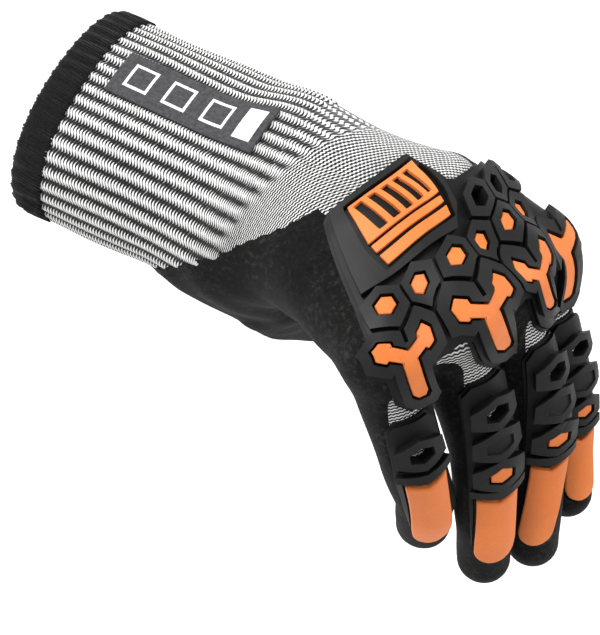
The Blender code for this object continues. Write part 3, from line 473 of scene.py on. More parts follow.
def three_legs(cx, cy, half, arm, stem, chamfer=0.45):
    """Outline of a Y: two arms towards the hexagon centres and a stem."""
    ring = []
    for k, reach in ((0, stem), (1, arm), (2, arm)):
        ang = math.pi / 2 + k * 2 * math.pi / 3
        d = (math.cos(ang), math.sin(ang)); n = (-d[1], d[0])
        inner = ang - math.pi / 3
        ring.append((cx + math.cos(inner) * half / math.sin(math.pi / 3), cy + math.sin(inner) * half / math.sin(math.pi / 3)))
        for along, out in ((reach - half * chamfer, -1), (reach, -1 + chamfer), (reach, 1 - chamfer), (reach - half * chamfer, 1)):
            ring.append((cx + d[0] * along + n[0] * out * half, cy + d[1] * along + n[1] * out * half))
    return ring


# ---- the back guard's layout, in pitches from the first hexagon ----------------
TURN = math.pi / 6       # a flat side of each cell faces its neighbour


def cell_centre(column, row):
    return column - 0.5 * row, 0.8660 * row


Y_CELLS = {"index": 0, "middle": 2, "ring": 4, "little": 6}
# how far each prong leans across at its end, following its finger
LEAN = {"index": 0.0, "middle": 0.0, "ring": 0.0, "little": 0.80}


def leaned(points, lean):
    return [(x + lean * max(0.0, y - 1.155) / 0.95, y) for x, y in points]


def prong(centre, lean, more=0.0):
    """The outline round one finger's prong, from the little-finger side across."""
    side = [(centre + 0.52, 1.60), (centre + 0.50, 2.26 + more), (centre + 0.24, 2.54 + more), (centre - 0.24, 2.54 + more),
            (centre - 0.50, 2.26 + more), (centre - 0.52, 1.60)]
    return leaned(side, lean)


BACK_OUTLINE = ([(-0.46, -0.48), (-0.46, -2.86), (-0.36, -2.96), (2.16, -3.00), (2.30, -2.94), (2.92, -1.72),
                 (3.30, -1.56), (5.00, -1.56), (5.72, -1.30), (6.10, -0.70), (6.62, -0.10), (7.02, 0.50), (7.12, 1.05),
                 (6.86, 1.45)]
                + prong(6, LEAN["little"]) + [(5.22, 1.46), (4.90, 1.46)]
                + prong(4, LEAN["ring"], 0.35) + [(3.22, 1.46), (2.78, 1.46)]
                + prong(2, LEAN["middle"]) + [(1.22, 1.46), (0.78, 1.46)]
                + prong(0, LEAN["index"])
                + [(-0.98, 1.30), (-1.04, 0.60), (-0.56, 0.46)])
PLUG_CELLS = [(0, 0), (1, 0), (2, 0), (3, 0), (4, 0), (5, 0)]
OPEN_CELLS = [(3, -1), (4, -1), (5, -1)]
PANEL_EDGE = [(-0.32, -0.56), (-0.32, -2.80), (2.10, -2.84), (2.66, -1.74), (2.78, -1.06), (2.44, -0.56), (0.55, -0.56)]
PANEL_FLOOR = [(0.00, -2.64), (2.26, -2.68), (2.60, -1.42), (2.58, -0.84), (0.38, -0.70), (0.14, -1.42)]
FRAME_OUT = [(0.10, -2.56), (2.18, -2.60), (2.40, -1.56), (0.26, -1.50)]
FRAME_IN = [(0.24, -2.44), (2.06, -2.48), (2.24, -1.68), (0.38, -1.63)]


def between(quad, s, t):
    (x0, y0), (x1, y1), (x2, y2), (x3, y3) = quad
    return ((x0 * (1 - s) + x1 * s) * (1 - t) + (x3 * (1 - s) + x2 * s) * t,
            (y0 * (1 - s) + y1 * s) * (1 - t) + (y3 * (1 - s) + y2 * s) * t)


def scaled(polygon, mapper=back_to_mm):
    return [tuple(float(q) for q in mapper(x, y)) for x, y in polygon]


def y_outlines(name, half, end, stem):
    """Y between two cells: two arms, the hexagons at their ends and a wider stem."""
    cx, cy, w = Y_CELLS[name], 0.8660 + 0.289, half + 0.045
    if name == "little":     # seen edge on, so its arms are plain
        return [scaled(leaned(three_legs(cx, cy, half + 0.035, end + 0.465, stem), LEAN[name]))]
    leg = [(cx - w, cy + 0.02), (cx + w, cy + 0.02), (cx + w, cy + stem - 0.12), (cx + w * 0.5, cy + stem),
           (cx - w * 0.5, cy + stem), (cx - w, cy + stem - 0.12)]
    return [scaled(leaned(three_legs(cx, cy, half, 0.56, stem * 0.6), LEAN[name])),
            scaled(hexagon(cx - 0.5, 0.866, end, TURN)), scaled(hexagon(cx + 0.5, 0.866, end, TURN)),
            scaled(leaned(leg, LEAN[name]))]


def stem_body(name):
    cx = Y_CELLS[name]
    return leaned([(cx - 0.40, 0.95), (cx + 0.40, 0.95), (cx + 0.40, 2.18), (cx + 0.20, 2.43), (cx - 0.20, 2.43),
                   (cx - 0.40, 2.18)], LEAN[name])


def chevron(y, half, rise, thick):
    return [(-half, y - thick * 0.5 - rise), (0, y - thick * 0.5 + rise * 0.2), (half, y - thick * 0.5 - rise),
            (half, y + thick * 0.5 - rise), (0, y + thick * 0.5 + rise * 0.6), (-half, y + thick * 0.5 - rise)]


# ---- cuff label, a thin plain patch on the back of the cuff ---------------------
LABEL_AREA = dict(x0=16.0, x1=62.0, angle0=-0.24, angle1=0.30, low=0.35, high=0.75)




# ---- camera, light and floor ------------------------------------------------------
VIEW_SCALE, VIEW_DISTANCE = 3.75, 600.0          # pixels a millimetre, millimetres
HEM_PIXEL = (72.0, 112.0, -38.0)                 # the cuff's mouth in the frame


def camera_axes():
    forward = unit((0.87, -0.425, 0.25))         # the cuff's direction, seen by the camera
    e = math.atan2(-forward[1], forward[2])
    up = np.array((0, math.cos(e), math.sin(e)))
    side = np.cross(up, forward)
    return forward, side, up


def to_world(v):
    f, s, u = camera_axes()
    v = np.asarray(v, float)
    return np.array((v @ f, v @ s, v @ u))


def make_camera():
    z = HEM_PIXEL[2]
    s = VIEW_SCALE * VIEW_DISTANCE / (VIEW_DISTANCE - z)
    hem = np.array(((HEM_PIXEL[0] - 300) / s, (317.5 - HEM_PIXEL[1]) / s, z))
    eye = to_world(np.array((0, 0, VIEW_DISTANCE)) - hem) * MM
    right, up, back = to_world((1, 0, 0)), to_world((0, 1, 0)), to_world((0, 0, 1))
    data = bpy.data.cameras.new("camera")
    data.sensor_fit = "HORIZONTAL"
    data.sensor_width = 36.0
    data.lens = 36.0 * VIEW_SCALE * VIEW_DISTANCE / 600.0
    data.clip_start, data.clip_end = 0.01, 20
    cam = bpy.data.objects.new("camera", data)
    scene.collection.objects.link(cam)
    m = Matrix.Identity(4)
    for k in range(3):
        m[k][0], m[k][1], m[k][2], m[k][3] = right[k], up[k], back[k], eye[k]
    cam.matrix_world = m
    scene.camera = cam
    return eye


def area_light(name, where, target, size, power, colour=(1, 1, 1)):
    data = bpy.data.lights.new(name, "AREA")
    data.shape = "SQUARE"
    data.size = size
    data.energy = power
    data.color = colour
    obj = bpy.data.objects.new(name, data)
    scene.collection.objects.link(obj)
    d = Vector(target) - Vector(where)
    obj.rotation_euler = d.to_track_quat("-Z", "Y").to_euler()
    obj.location = where
    return obj


def make_stage():
    eye = make_camera()
    world = bpy.data.worlds.new("studio")
    scene.world = world
    world.use_nodes = True
    scene.view_settings.view_transform = "Standard"
    bg = world.node_tree.nodes["Background"]
    bg.inputs["Color"].default_value = (1.0, 1.0, 1.0, 1)
    bg.inputs["Strength"].default_value = 0.72
    centre = (0.10, -0.01, 0.0)
    back = to_world((0, 0, 1)); up = to_world((0, 1, 0)); right = to_world((1, 0, 0))

    def around(x, y, z):
        return tuple(np.array(centre) + (right * x + up * y + back * z))
    area_light("key", around(-0.35, 0.75, 0.75), centre, 0.55, 15)
    area_light("side", around(0.85, 0.15, 0.35), centre, 0.45, 4)
    area_light("edge", around(-0.7, -0.25, 0.30), centre, 0.5, 2)
    mesh = bpy.data.meshes.new("floor")
    r, z = 6.0, -0.42
    mesh.from_pydata([(-r, -r, z), (r, -r, z), (r, r, z), (-r, r, z)], [], [(0, 1, 2, 3)])
    floor = bpy.data.objects.new("floor", mesh)
    scene.collection.objects.link(floor)
    m = bpy.data.materials.new("floor_pale")
    m.use_nodes = True
    s = m.node_tree.nodes["Principled BSDF"]
    s.inputs["Base Color"].default_value = (0.93, 0.93, 0.93, 1)
    s.inputs["Roughness"].default_value = 0.9
    mesh.materials.append(m)


# ---- mesh helpers -------------------------------------------------------------------
def make_object(name, verts, faces, mat, nodes, attributes=None, sharp=38):
    mesh = bpy.data.meshes.new(name)
    mesh.from_pydata((np.asarray(verts) * MM).tolist(), [], [list(map(int, f)) for f in faces])
    mesh.update()
    for key, value in (attributes or {}).items():
        a = mesh.attributes.new(key, "FLOAT_VECTOR", "POINT")
        a.data.foreach_set("vector", np.asarray(value, np.float32).ravel())
    obj = bpy.data.objects.new(name, mesh)
    scene.collection.objects.link(obj)
    mesh.materials.append(mat)
    mesh.shade_smooth()
    if sharp:
        mesh.set_sharp_from_angle(angle=math.radians(sharp))
    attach(obj, "root")
    if nodes:
        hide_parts(*nodes)
    return obj


def wall(verts, tris, normals, low, high):
    """Closed wall between two heights over an open patch; heights may vary by point."""
    tris = np.asarray(tris)
    n = len(verts)
    low = np.broadcast_to(np.asarray(low, float), (n,))[:, None]
    high = np.broadcast_to(np.asarray(high, float), (n,))[:, None]
    allv = np.concatenate([verts + normals * low, verts + normals * high])
    e = np.concatenate([tris[:, [0, 1]], tris[:, [1, 2]], tris[:, [2, 0]]])
    key = set(map(tuple, e.tolist()))
    rim = [(a, b) for a, b in key if (b, a) not in key]
    rim.sort()
    side = [[a, b, b + n] for a, b in rim] + [[a, b + n, a + n] for a, b in rim]
    out = np.concatenate([tris + n, tris[:, ::-1], np.array(side, int).reshape(-1, 3)])
    return allv, out


def clip_mesh(verts, tris, value, extra=None):
    """Keep the part where value is positive, cutting the triangles on its edge."""
    tris = np.asarray(tris)
    v = value.copy()
    v[np.abs(v) < 0.02] = 0.0
    s = v[tris]
    keep = tris[(s.min(1) >= 0) & (s.max(1) > 0)]
    cross = tris[(s.min(1) < 0) & (s.max(1) > 0)]
    out = verts.tolist(); made = {}; faces = []

    def cut(a, b):
        k = (min(a, b), max(a, b))
        if k not in made:
            r = v[k[0]] / (v[k[0]] - v[k[1]])
            made[k] = len(out)
            out.append((verts[k[0]] * (1 - r) + verts[k[1]] * r).tolist())
        return made[k]
    for t in cross.tolist():
        ring = []
        for i in range(3):
            a, b = t[i], t[(i + 1) % 3]
            if v[a] >= 0:
                ring.append(a)
            if v[a] * v[b] < 0:
                ring.append(cut(a, b))
        for i in range(1, len(ring) - 1):
            faces.append([ring[0], ring[i], ring[i + 1]])
    allt = np.concatenate([keep, np.array(faces, int).reshape(-1, 3)])
    used, back = np.unique(allt, return_inverse=True)
    return np.array(out)[used], back.reshape(-1, 3)


def nets_fast(field, low, high, step, stride=4):
    """surface_nets with the field worked out only near the surface."""
    def near_field(points):
        axes = [np.arange(l, h + step, step) for l, h in zip(low, high)]
        shape = [len(a) for a in axes]
        coarse = [a[::stride] for a in axes]
        grid = np.stack(np.meshgrid(*coarse, indexing="ij"), -1)
        cv = field(grid.reshape(-1, 3)).reshape(grid.shape[:3])
        idx = [np.minimum((np.arange(n) + stride // 2) // stride, len(c) - 1) for n, c in zip(shape, coarse)]
        value = cv[np.ix_(*idx)].reshape(-1)
        close = np.abs(value) < step * stride * 1.6
        value[close] = field(points[close])
        return value
    return surface_nets(near_field, low, high, step)


def smooth01(x):
    x = np.clip(x, 0, 1)
    return x * x * (3 - 2 * x)


# ---- knit measures: across the rows, along them, and how ribbed -------------------
RIB_END = 70.0           # where the ribbed cuff runs out, along X
RIB_COUNT = 42
HAND_ROWS = unit((0.72, -0.60, 0.35))      # direction the rows step on the hand


def hand_rows(offset):
    """Row distance on the hand, gentler on the far side and the palm side."""
    q = np.array(offset, float)
    q[:, 1] = np.where(q[:, 1] > 0, 0.45 * q[:, 1], q[:, 1])
    q[:, 2] = np.where(q[:, 2] < 0, 0.30 * q[:, 2], q[:, 2])
    return 70.0 + q @ HAND_ROWS


def knit_measure(points):
    p = np.asarray(points, float)
    x = p[:, 0]
    blend = smooth01((x - 56) / 30)
    pivot = np.array((70.0, 0.0, 20.0))
    hand = hand_rows(p - pivot)
    along = x * (1 - blend) + hand * blend
    angle = np.arctan2(p[:, 1] - 2.0, p[:, 2] - 1.0)
    across = angle * 29.0
    d_hand = None
    for chain in PALM:
        d = chain_distance(p, chain)
        d_hand = d if d_hand is None else np.minimum(d_hand, d)
    near = np.full(len(p), 1e9); f_along = np.zeros(len(p)); f_across = np.zeros(len(p))
    for name, chain in FINGERS.items():
        axis = np.array([q[1:4] for q in chain], float)
        d = chain_distance(p, chain)
        base = hand_rows(axis[:1] - pivot)[0]
        best = np.full(len(p), 1e9); al = np.zeros(len(p)); ac = np.zeros(len(p)); done = 0.0
        for k in range(3):
            ab = axis[k + 1] - axis[k]; L = np.linalg.norm(ab); t = ((p - axis[k]) @ ab) / L
            lo = -1e3 if k == 0 else 0.0
            hi = 1e3 if k == 2 else L
            tc = np.clip(t, 0, L)
            gap = np.linalg.norm(p - axis[k] - (tc / L)[:, None] * ab, axis=1)
            u = unit(FINGER_UP[name][0]); tan = ab / L
            u = unit(u - (u @ tan) * tan); w = np.cross(tan, u)
            r = p - axis[k]
            ang = np.arctan2(r @ w, r @ u)
            better = gap < best
            al = np.where(better, done + np.clip(t, lo, hi), al)
            ac = np.where(better, ang * chain[1][4], ac)
            best = np.where(better, gap, best)
            done += L
        closer = d < near
        f_along = np.where(closer, base + al, f_along); f_across = np.where(closer, ac, f_across)
        near = np.where(closer, d, near)
    w = smooth01(0.5 + (d_hand - near + 4.0) / 7.0)
    along = along * (1 - w) + f_along * w
    across = np.where(w > 0.5, f_across, across)
    rib = 1 - smooth01((x - 0.34 * (p[:, 1] + 20) - RIB_END + 4) / 4)
    return np.stack([across, along, rib], 1)


# ---- materials -------------------------------------------------------------------------
class Nodes:
    def __init__(self, name):
        self.mat = bpy.data.materials.new(name)
        self.mat.use_nodes = True
        self.tree = self.mat.node_tree
        self.shader = self.tree.nodes["Principled BSDF"]

    def new(self, kind, **settings):
        n = self.tree.nodes.new(kind)
        for k, v in settings.items():
            setattr(n, k, v)
        return n

    def link(self, a, b):
        self.tree.links.new(a, b)

    def value(self, node, key, v):
        node.inputs[key].default_value = v

    def math(self, op, a, b=None, c=None, clamp=False):
        n = self.new("ShaderNodeMath", operation=op, use_clamp=clamp)
        for i, x in enumerate((a, b, c)):
            if x is None:
                continue
            if isinstance(x, (int, float)):
                n.inputs[i].default_value = x
            else:
                self.link(x, n.inputs[i])
        return n.outputs[0]

    def noise(self, vector, scale, detail=4, rough=0.6):
        n = self.new("ShaderNodeTexNoise")
        n.inputs["Scale"].default_value = scale
        n.inputs["Detail"].default_value = detail
        n.inputs["Roughness"].default_value = rough
        self.link(vector, n.inputs["Vector"])
        return n.outputs["Fac"]

    def ramp(self, fac, stops):
        n = self.new("ShaderNodeValToRGB")
        while len(n.color_ramp.elements) < len(stops):
            n.color_ramp.elements.new(0.5)
        for e, (pos, col) in zip(n.color_ramp.elements, stops):
            e.position = pos
            e.color = (*col, 1) if len(col) == 3 else col
        self.link(fac, n.inputs["Fac"])
        return n.outputs["Color"]

    def bump(self, height, strength, distance):
        n = self.new("ShaderNodeBump")
        n.inputs["Strength"].default_value = strength
        n.inputs["Distance"].default_value = distance
        self.link(height, n.inputs["Height"])
        self.link(n.outputs["Normal"], self.shader.inputs["Normal"])
        return n


def knit_material():
    m = Nodes("knit")
    m.shader.inputs["Roughness"].default_value = 0.92
    m.shader.inputs["Sheen Weight"].default_value = 0.25
    m.shader.inputs["Specular IOR Level"].default_value = 0.2
    a = m.new("ShaderNodeAttribute", attribute_name="knit")
    sep = m.new("ShaderNodeSeparateXYZ")
    m.link(a.outputs["Vector"], sep.inputs[0])
    across, along, rib = sep.outputs[0], sep.outputs[1], sep.outputs[2]
    co = m.new("ShaderNodeTexCoord").outputs["Object"]
    wob = m.noise(co, 260, 2)
    # position within a rib, 0 at the crest
    turn = m.math("MULTIPLY", across, RIB_COUNT / (2 * math.pi * 29.0))
    rib_wave = m.math("COSINE", m.math("MULTIPLY", turn, 2 * math.pi))
    # the rows swing to and fro across each rib
    swing = m.math("MULTIPLY", m.math("SINE", m.math("MULTIPLY", turn, 2 * math.pi)), m.math("MULTIPLY", rib, 0.42))
    slant_plain = m.math("MULTIPLY", m.math("PINGPONG", across, 0.55), m.math("MULTIPLY", m.math("SUBTRACT", 1.0, rib), 0.55))
    row = m.math("ADD", m.math("ADD", along, swing), slant_plain)
    row = m.math("ADD", row, m.math("MULTIPLY", wob, 0.22))
    wave = m.math("SINE", m.math("MULTIPLY", row, 2 * math.pi / 0.92))
    # painted shade and light: the rib crests are painted lighter and the troughs between them darker, following the
    # cuff's raised ribs, on top of the knit's row stripes
    crest = m.math("MULTIPLY", m.math("ADD", rib_wave, 0.05), m.math("MULTIPLY", rib, 0.95))
    light = m.math("ADD", m.math("MULTIPLY", wave, 0.9), crest)
    light = m.math("ADD", m.math("MULTIPLY", light, 0.5), 0.5)
    fleck = m.noise(co, 900, 3)
    light = m.math("ADD", light, m.math("MULTIPLY", m.math("SUBTRACT", fleck, 0.5), 0.7), clamp=True)
    colour = m.ramp(light, [(0.47, (0.005, 0.005, 0.006)), (0.57, (0.10, 0.10, 0.105)), (0.68, (0.60, 0.60, 0.59)), (0.88, (0.80, 0.80, 0.79))])
    m.link(colour, m.shader.inputs["Base Color"])
    m.bump(m.math("ADD", wave, m.math("MULTIPLY", fleck, 0.8)), 0.8, 0.00022)
    return m.mat


def coat_material():
    m = Nodes("coating")
    m.shader.inputs["Specular IOR Level"].default_value = 0.10
    m.shader.inputs["Sheen Weight"].default_value = 0.02
    co = m.new("ShaderNodeTexCoord").outputs["Object"]
    fine = m.noise(co, 2600, 3, 0.7)
    mid = m.noise(co, 700, 4, 0.6)
    big = m.noise(co, 60, 3)
    mix = m.math("ADD", m.math("MULTIPLY", fine, 0.6), m.math("MULTIPLY", mid, 0.5))
    colour = m.ramp(m.math("ADD", m.math("MULTIPLY", mid, 0.7), m.math("MULTIPLY", big, 0.3)),
                    [(0.38, (0.0015, 0.0015, 0.0016)), (0.54, (0.0065, 0.0065, 0.0063)), (0.66, (0.0240, 0.0240, 0.0230))])
    m.link(colour, m.shader.inputs["Base Color"])
    rough = m.math("ADD", m.math("MULTIPLY", mid, 0.25), 0.62)
    m.link(rough, m.shader.inputs["Roughness"])
    m.bump(mix, 1.0, 0.00055)
    return m.mat


def rubber_material(name, dark, mid, bright, rough=0.46, spec=0.5):
    m = Nodes(name)
    m.shader.inputs["Specular IOR Level"].default_value = spec
    co = m.new("ShaderNodeTexCoord").outputs["Object"]
    fine = m.noise(co, 1500, 3, 0.6)
    big = m.noise(co, 45, 4, 0.55)
    mixed = m.math("ADD", m.math("MULTIPLY", big, 0.75), m.math("MULTIPLY", fine, 0.25))
    colour = m.ramp(mixed, [(0.32, dark), (0.52, mid), (0.72, bright)])
    m.link(colour, m.shader.inputs["Base Color"])
    m.link(m.math("ADD", m.math("MULTIPLY", big, 0.22), rough - 0.10), m.shader.inputs["Roughness"])
    m.bump(m.math("ADD", m.math("MULTIPLY", fine, 0.7), m.math("MULTIPLY", big, 0.6)), 0.35, 0.00010)
    return m.mat


def yarn_material(name, dark, bright, scale=1800):
    m = Nodes(name)
    m.shader.inputs["Roughness"].default_value = 0.95
    m.shader.inputs["Sheen Weight"].default_value = 0.08
    m.shader.inputs["Specular IOR Level"].default_value = 0.15
    co = m.new("ShaderNodeTexCoord").outputs["Object"]
    n = m.noise(co, scale, 4, 0.7)
    m.link(m.ramp(n, [(0.35, dark), (0.7, bright)]), m.shader.inputs["Base Color"])
    m.bump(n, 0.8, 0.0003)
    return m.mat


def guard_material():
    m = Nodes("guard_rubber")
    m.shader.inputs["Specular IOR Level"].default_value = 0.22
    co = m.new("ShaderNodeTexCoord").outputs["Object"]
    fine = m.noise(co, 1500, 3, 0.6)
    big = m.noise(co, 45, 4, 0.55)
    a = m.new("ShaderNodeAttribute", attribute_name="relief")
    sep = m.new("ShaderNodeSeparateXYZ")
    m.link(a.outputs["Vector"], sep.inputs[0])
    mixed = m.math("ADD", m.math("MULTIPLY", big, 0.30), m.math("MULTIPLY", fine, 0.12))
    # painted shade: the grooves and low floors are painted darker and the raised tops lighter by the relief height, on
    # top of the rubber's random tone
    tone_and_groove_shade = m.math("ADD", m.math("MULTIPLY", sep.outputs[0], 0.62), m.math("SUBTRACT", mixed, 0.06))
    colour = m.ramp(tone_and_groove_shade, [(0.45, (0.0012, 0.0012, 0.0012)), (0.66, (0.0045, 0.0047, 0.0046)), (0.90, (0.0135, 0.0140, 0.0135))])
    m.link(colour, m.shader.inputs["Base Color"])
    m.link(m.math("ADD", m.math("MULTIPLY", big, 0.22), 0.42), m.shader.inputs["Roughness"])
    m.bump(m.math("ADD", m.math("MULTIPLY", fine, 0.7), m.math("MULTIPLY", big, 0.6)), 0.35, 0.00010)
    return m.mat


# ---- pieces ------------------------------------------------------------------------------
def relief_plate(regions, low, place, grid):
    flat, faces = plate(regions, low, lambda a, b, h: np.stack([a, b, h], 1), grid=grid)
    h = flat[:, 2]
    # the relief attribute carries the height that the guard colour uses for its painted shade in the grooves
    return place(flat[:, 0], flat[:, 1], h), faces, {"relief": np.stack([np.clip(h / 4.3, 0, 1), h, h], 1)}


def bevelled(obj, width, segments=2, angle=32):
    b = obj.modifiers.new("edges", "BEVEL")
    b.width = width * MM
    b.segments = segments
    b.limit_method = "ANGLE"
    b.angle_limit = math.radians(angle)
    b.use_clamp_overlap = True
    b.harden_normals = False
    return obj


def offset_ring(ring, d):
    """Polygon moved outwards by d."""
    p = np.array(ring, float)
    area = 0.5 * np.sum(p[:, 0] * np.roll(p[:, 1], -1) - np.roll(p[:, 0], -1) * p[:, 1])
    sign = 1.0 if area > 0 else -1.0
    out = []
    for i in range(len(p)):
        a, b, c = p[i - 1], p[i], p[(i + 1) % len(p)]
        n1 = np.array(((b - a)[1], -(b - a)[0])); n1 /= np.linalg.norm(n1)
        n2 = np.array(((c - b)[1], -(c - b)[0])); n2 /= np.linalg.norm(n2)
        n = (n1 + n2); n /= max(np.linalg.norm(n), 1e-6)
        k = 1.0 / max(0.5, float(n @ n1))
        out.append(tuple(b + sign * n * d * k))
    return out


def rounded(ring, cut=0.25, limit=1.4):
    """Corners of a polygon cut back by a part of each side."""
    out = []
    p = [np.array(q, float) for q in ring]
    for i, b in enumerate(p):
        a, c = p[i - 1], p[(i + 1) % len(p)]
        la, lc = np.linalg.norm(a - b), np.linalg.norm(c - b)
        ka, kc = min(cut * la, limit), min(cut * lc, limit)
        p0, p2 = b + (a - b) / la * ka, b + (c - b) / lc * kc
        for t in (0.0, 0.5, 1.0):
            out.append(tuple((1 - t) ** 2 * p0 + 2 * t * (1 - t) * b + t * t * p2))
    return out


def cast_ring(xs, angles, centre=(2.0, 1.0)):
    s = np.asarray(xs, float); a = np.asarray(angles, float)
    pos = np.stack([s, np.full_like(s, centre[0]), np.full_like(s, centre[1])], 1)
    ray = np.stack([np.zeros_like(a), np.sin(a), np.cos(a)], 1)
    r = np.full(len(s), 45.0)
    for _ in range(50):
        r = np.maximum(r - np.clip(glove_distance(pos + ray * r[:, None]), -2, 8) * 0.9, 0.5)
    return pos + ray * r[:, None], ray


def build_knit(mat):
    step = 1.1
    v, q = nets_fast(glove_distance, (36, -72, -100), (190, 52, 60), step)
    t = np.concatenate([q[:, [0, 1, 2]], q[:, [0, 2, 3]]])
    n = field_normal(v)
    v = v - n * glove_distance(v)[:, None] * 0.9
    base_v, base_t = v, t
    hv, ht = clip_mesh(v, t, v[:, 0] - 69.0)
    hn = field_normal(hv)
    hand_v, hand_t = wall(hv, ht, hn, -1.3, 0.0)
    # ribbed cuff
    start = 9.0
    rows = np.linspace(start, 73.0, 31)
    cols = RIB_COUNT * 8
    ang = np.arange(cols) * 2 * math.pi / cols
    X = np.repeat(rows, cols); A = np.tile(ang, len(rows))
    cv, ray = cast_ring(X, A)
    k = knit_measure(cv)
    amp = 0.42 * k[:, 2]
    fade = 1 - smooth01((X - 69.5) / 2.5)
    height = amp * np.cos(A * RIB_COUNT) - 0.9 * (1 - fade) - 0.05
    # slow waves so that the cuff doesn't look turned on a lathe
    height = height + 0.35 * np.sin(A * 3 + X * 0.07) * smooth01((X - 9) / 20) * fade + 0.25 * np.sin(A * 5 - X * 0.11 + 1.3) * smooth01((60 - X) / 20)
    i = np.arange(len(rows) - 1)[:, None] * cols + np.arange(cols)[None]
    j = np.arange(len(rows) - 1)[:, None] * cols + (np.arange(cols)[None] + 1) % cols
    i, j = i.ravel(), j.ravel()
    ct = np.concatenate([np.stack([i, i + cols, j + cols], 1), np.stack([i, j + cols, j], 1)])
    a0 = cv[ct[0]]
    if np.dot(np.cross(a0[1] - a0[0], a0[2] - a0[0]), ray[ct[0][0]]) < 0:
        ct = ct[:, ::-1]
    cuff_v, cuff_t = wall(cv, ct, ray, -1.5, height)
    verts = np.concatenate([hand_v, cuff_v])
    tris = np.concatenate([hand_t, cuff_t + len(hand_v)])
    measure = np.concatenate([np.tile(knit_measure(hv), (2, 1)), np.tile(np.stack([np.where(A > math.pi, A - 2 * math.pi, A) * 29.0, k[:, 1], k[:, 2]], 1), (2, 1))])
    make_object("liner", verts, tris, mat, ["knit_liner"], {"knit": measure}, sharp=0)
    return base_v, base_t


def build_coat(base_v, base_t, mat):
    c = coat_distance(base_v)
    ragged = 0.35 * np.sin(base_v[:, 0] * 1.1 + base_v[:, 2] * 0.9) * np.sin(base_v[:, 1] * 1.3 - base_v[:, 2] * 0.7)
    v, t = clip_mesh(base_v, base_t, c + ragged)
    n = field_normal(v)
    inside = coat_distance(v)
    # creases where the wrist and the thumb's root bend
    p = v
    fold = (np.sin(p[:, 0] * 0.42 + p[:, 2] * 0.30 + 1.2 * np.sin(p[:, 1] * 0.10))
            * np.exp(-((p[:, 0] - 70) / 22) ** 2) * smooth01((10 - p[:, 2]) / 20))
    lumps = 0.16 * np.sin(p[:, 0] * 0.31 + 2) * np.sin(p[:, 1] * 0.27) + 0.12 * np.sin(p[:, 2] * 0.4 + p[:, 0] * 0.2)
    high = 0.12 + (0.62 + 0.45 * fold + lumps) * smooth01(inside / 2.2)
    wv, wt = wall(v, t, n, -0.35, np.maximum(high, 0.1))
    make_object("coating", wv, wt, mat, ["palm_coating"], sharp=0)


def build_guards(black, orange):
    wraps = make_wraps()
    def place(across, along, height):
        return prong_place(across, along, height, wraps["back"])
    low = -0.25
    groove, floor, top = 2.3, 2.7, 4.35
    outline = scaled(BACK_OUTLINE)
    regions = [(offset_ring(outline, 1.1), 0.9), (outline, groove), (scaled(PANEL_EDGE), top), (scaled(PANEL_FLOOR), floor)]
    for cell in PLUG_CELLS + OPEN_CELLS:
        x, y = cell_centre(*cell)
        regions.append((scaled(hexagon(x, y, 0.458, TURN)), top))
    for name, column in Y_CELLS.items():
        for c in (column, column + 1):
            x, y = cell_centre(c, 1)
            regions.append((scaled(hexagon(x, y, 0.458, TURN)), top))
        regions.append((scaled([(column - 0.14, 0.84), (column + 0.14, 0.84), (column + 0.14, 1.35), (column - 0.14, 1.35)]), top))
        regions.append((scaled(stem_body(name)), top))
    for cell in PLUG_CELLS + OPEN_CELLS:
        x, y = cell_centre(*cell)
        regions.append((scaled(hexagon(x, y, HEX_HOLE, TURN)), 0.5))
    for name in Y_CELLS:
        regions += [(ring, 1.6) for ring in y_outlines(name, 0.175, HEX_HOLE, 0.99)]
    v, f, relief = relief_plate(regions, low, place, 2.2)
    bevelled(make_object("back_guard_shell", v, f, black, ["back_guard"], relief), 0.34)
    for k, cell in enumerate(PLUG_CELLS):
        x, y = cell_centre(*cell)
        v, f = plate([(scaled(hexagon(x, y, PLUG_SIZE, TURN)), 3.7)], 0.3, place, grid=2.0)
        bevelled(make_object("hex_stud_%d" % (k + 1), v, f, orange, ["hex_plug_%d" % (k + 1)]), 0.3)
    for name in Y_CELLS:
        v, f = plate([(ring, 3.9) for ring in y_outlines(name, 0.132, PLUG_SIZE, 0.95)], 1.2, place, grid=2.0)
        bevelled(make_object("y_stud_" + name, v, f, orange, ["y_insert_" + name]), 0.45, 3)
    pieces = [(scaled(FRAME_OUT), 3.9)]
    for k in range(5):
        s0, s1 = k / 5, (k + 0.62) / 5
        pieces.append((scaled([between(FRAME_IN, s0, 0), between(FRAME_IN, s1, 0), between(FRAME_IN, min(s1 + 0.12, 1), 1), between(FRAME_IN, s0 + 0.12, 1)]), None))
    v, f = plate(pieces, 2.6, place, grid=2.0)
    bevelled(make_object("panel_frame_shell", v, f, orange, ["panel_frame"]), 0.22)
    for name, s in (("panel_bar_upper", ((0.30, -1.42), (2.40, -1.48), (2.46, -1.28), (0.36, -1.21))),
                    ("panel_bar_lower", ((0.40, -1.11), (2.48, -1.18), (2.48, -0.92), (0.50, -0.82)))):
        v, f = plate([(scaled(s), 3.9)], 2.6, place, grid=2.0)
        bevelled(make_object(name + "_shell", v, f, orange, [name]), 0.22)
    for name, row in FINGER_GUARD.items():
        finger_pieces(name, wraps[name].place, row, black, orange)


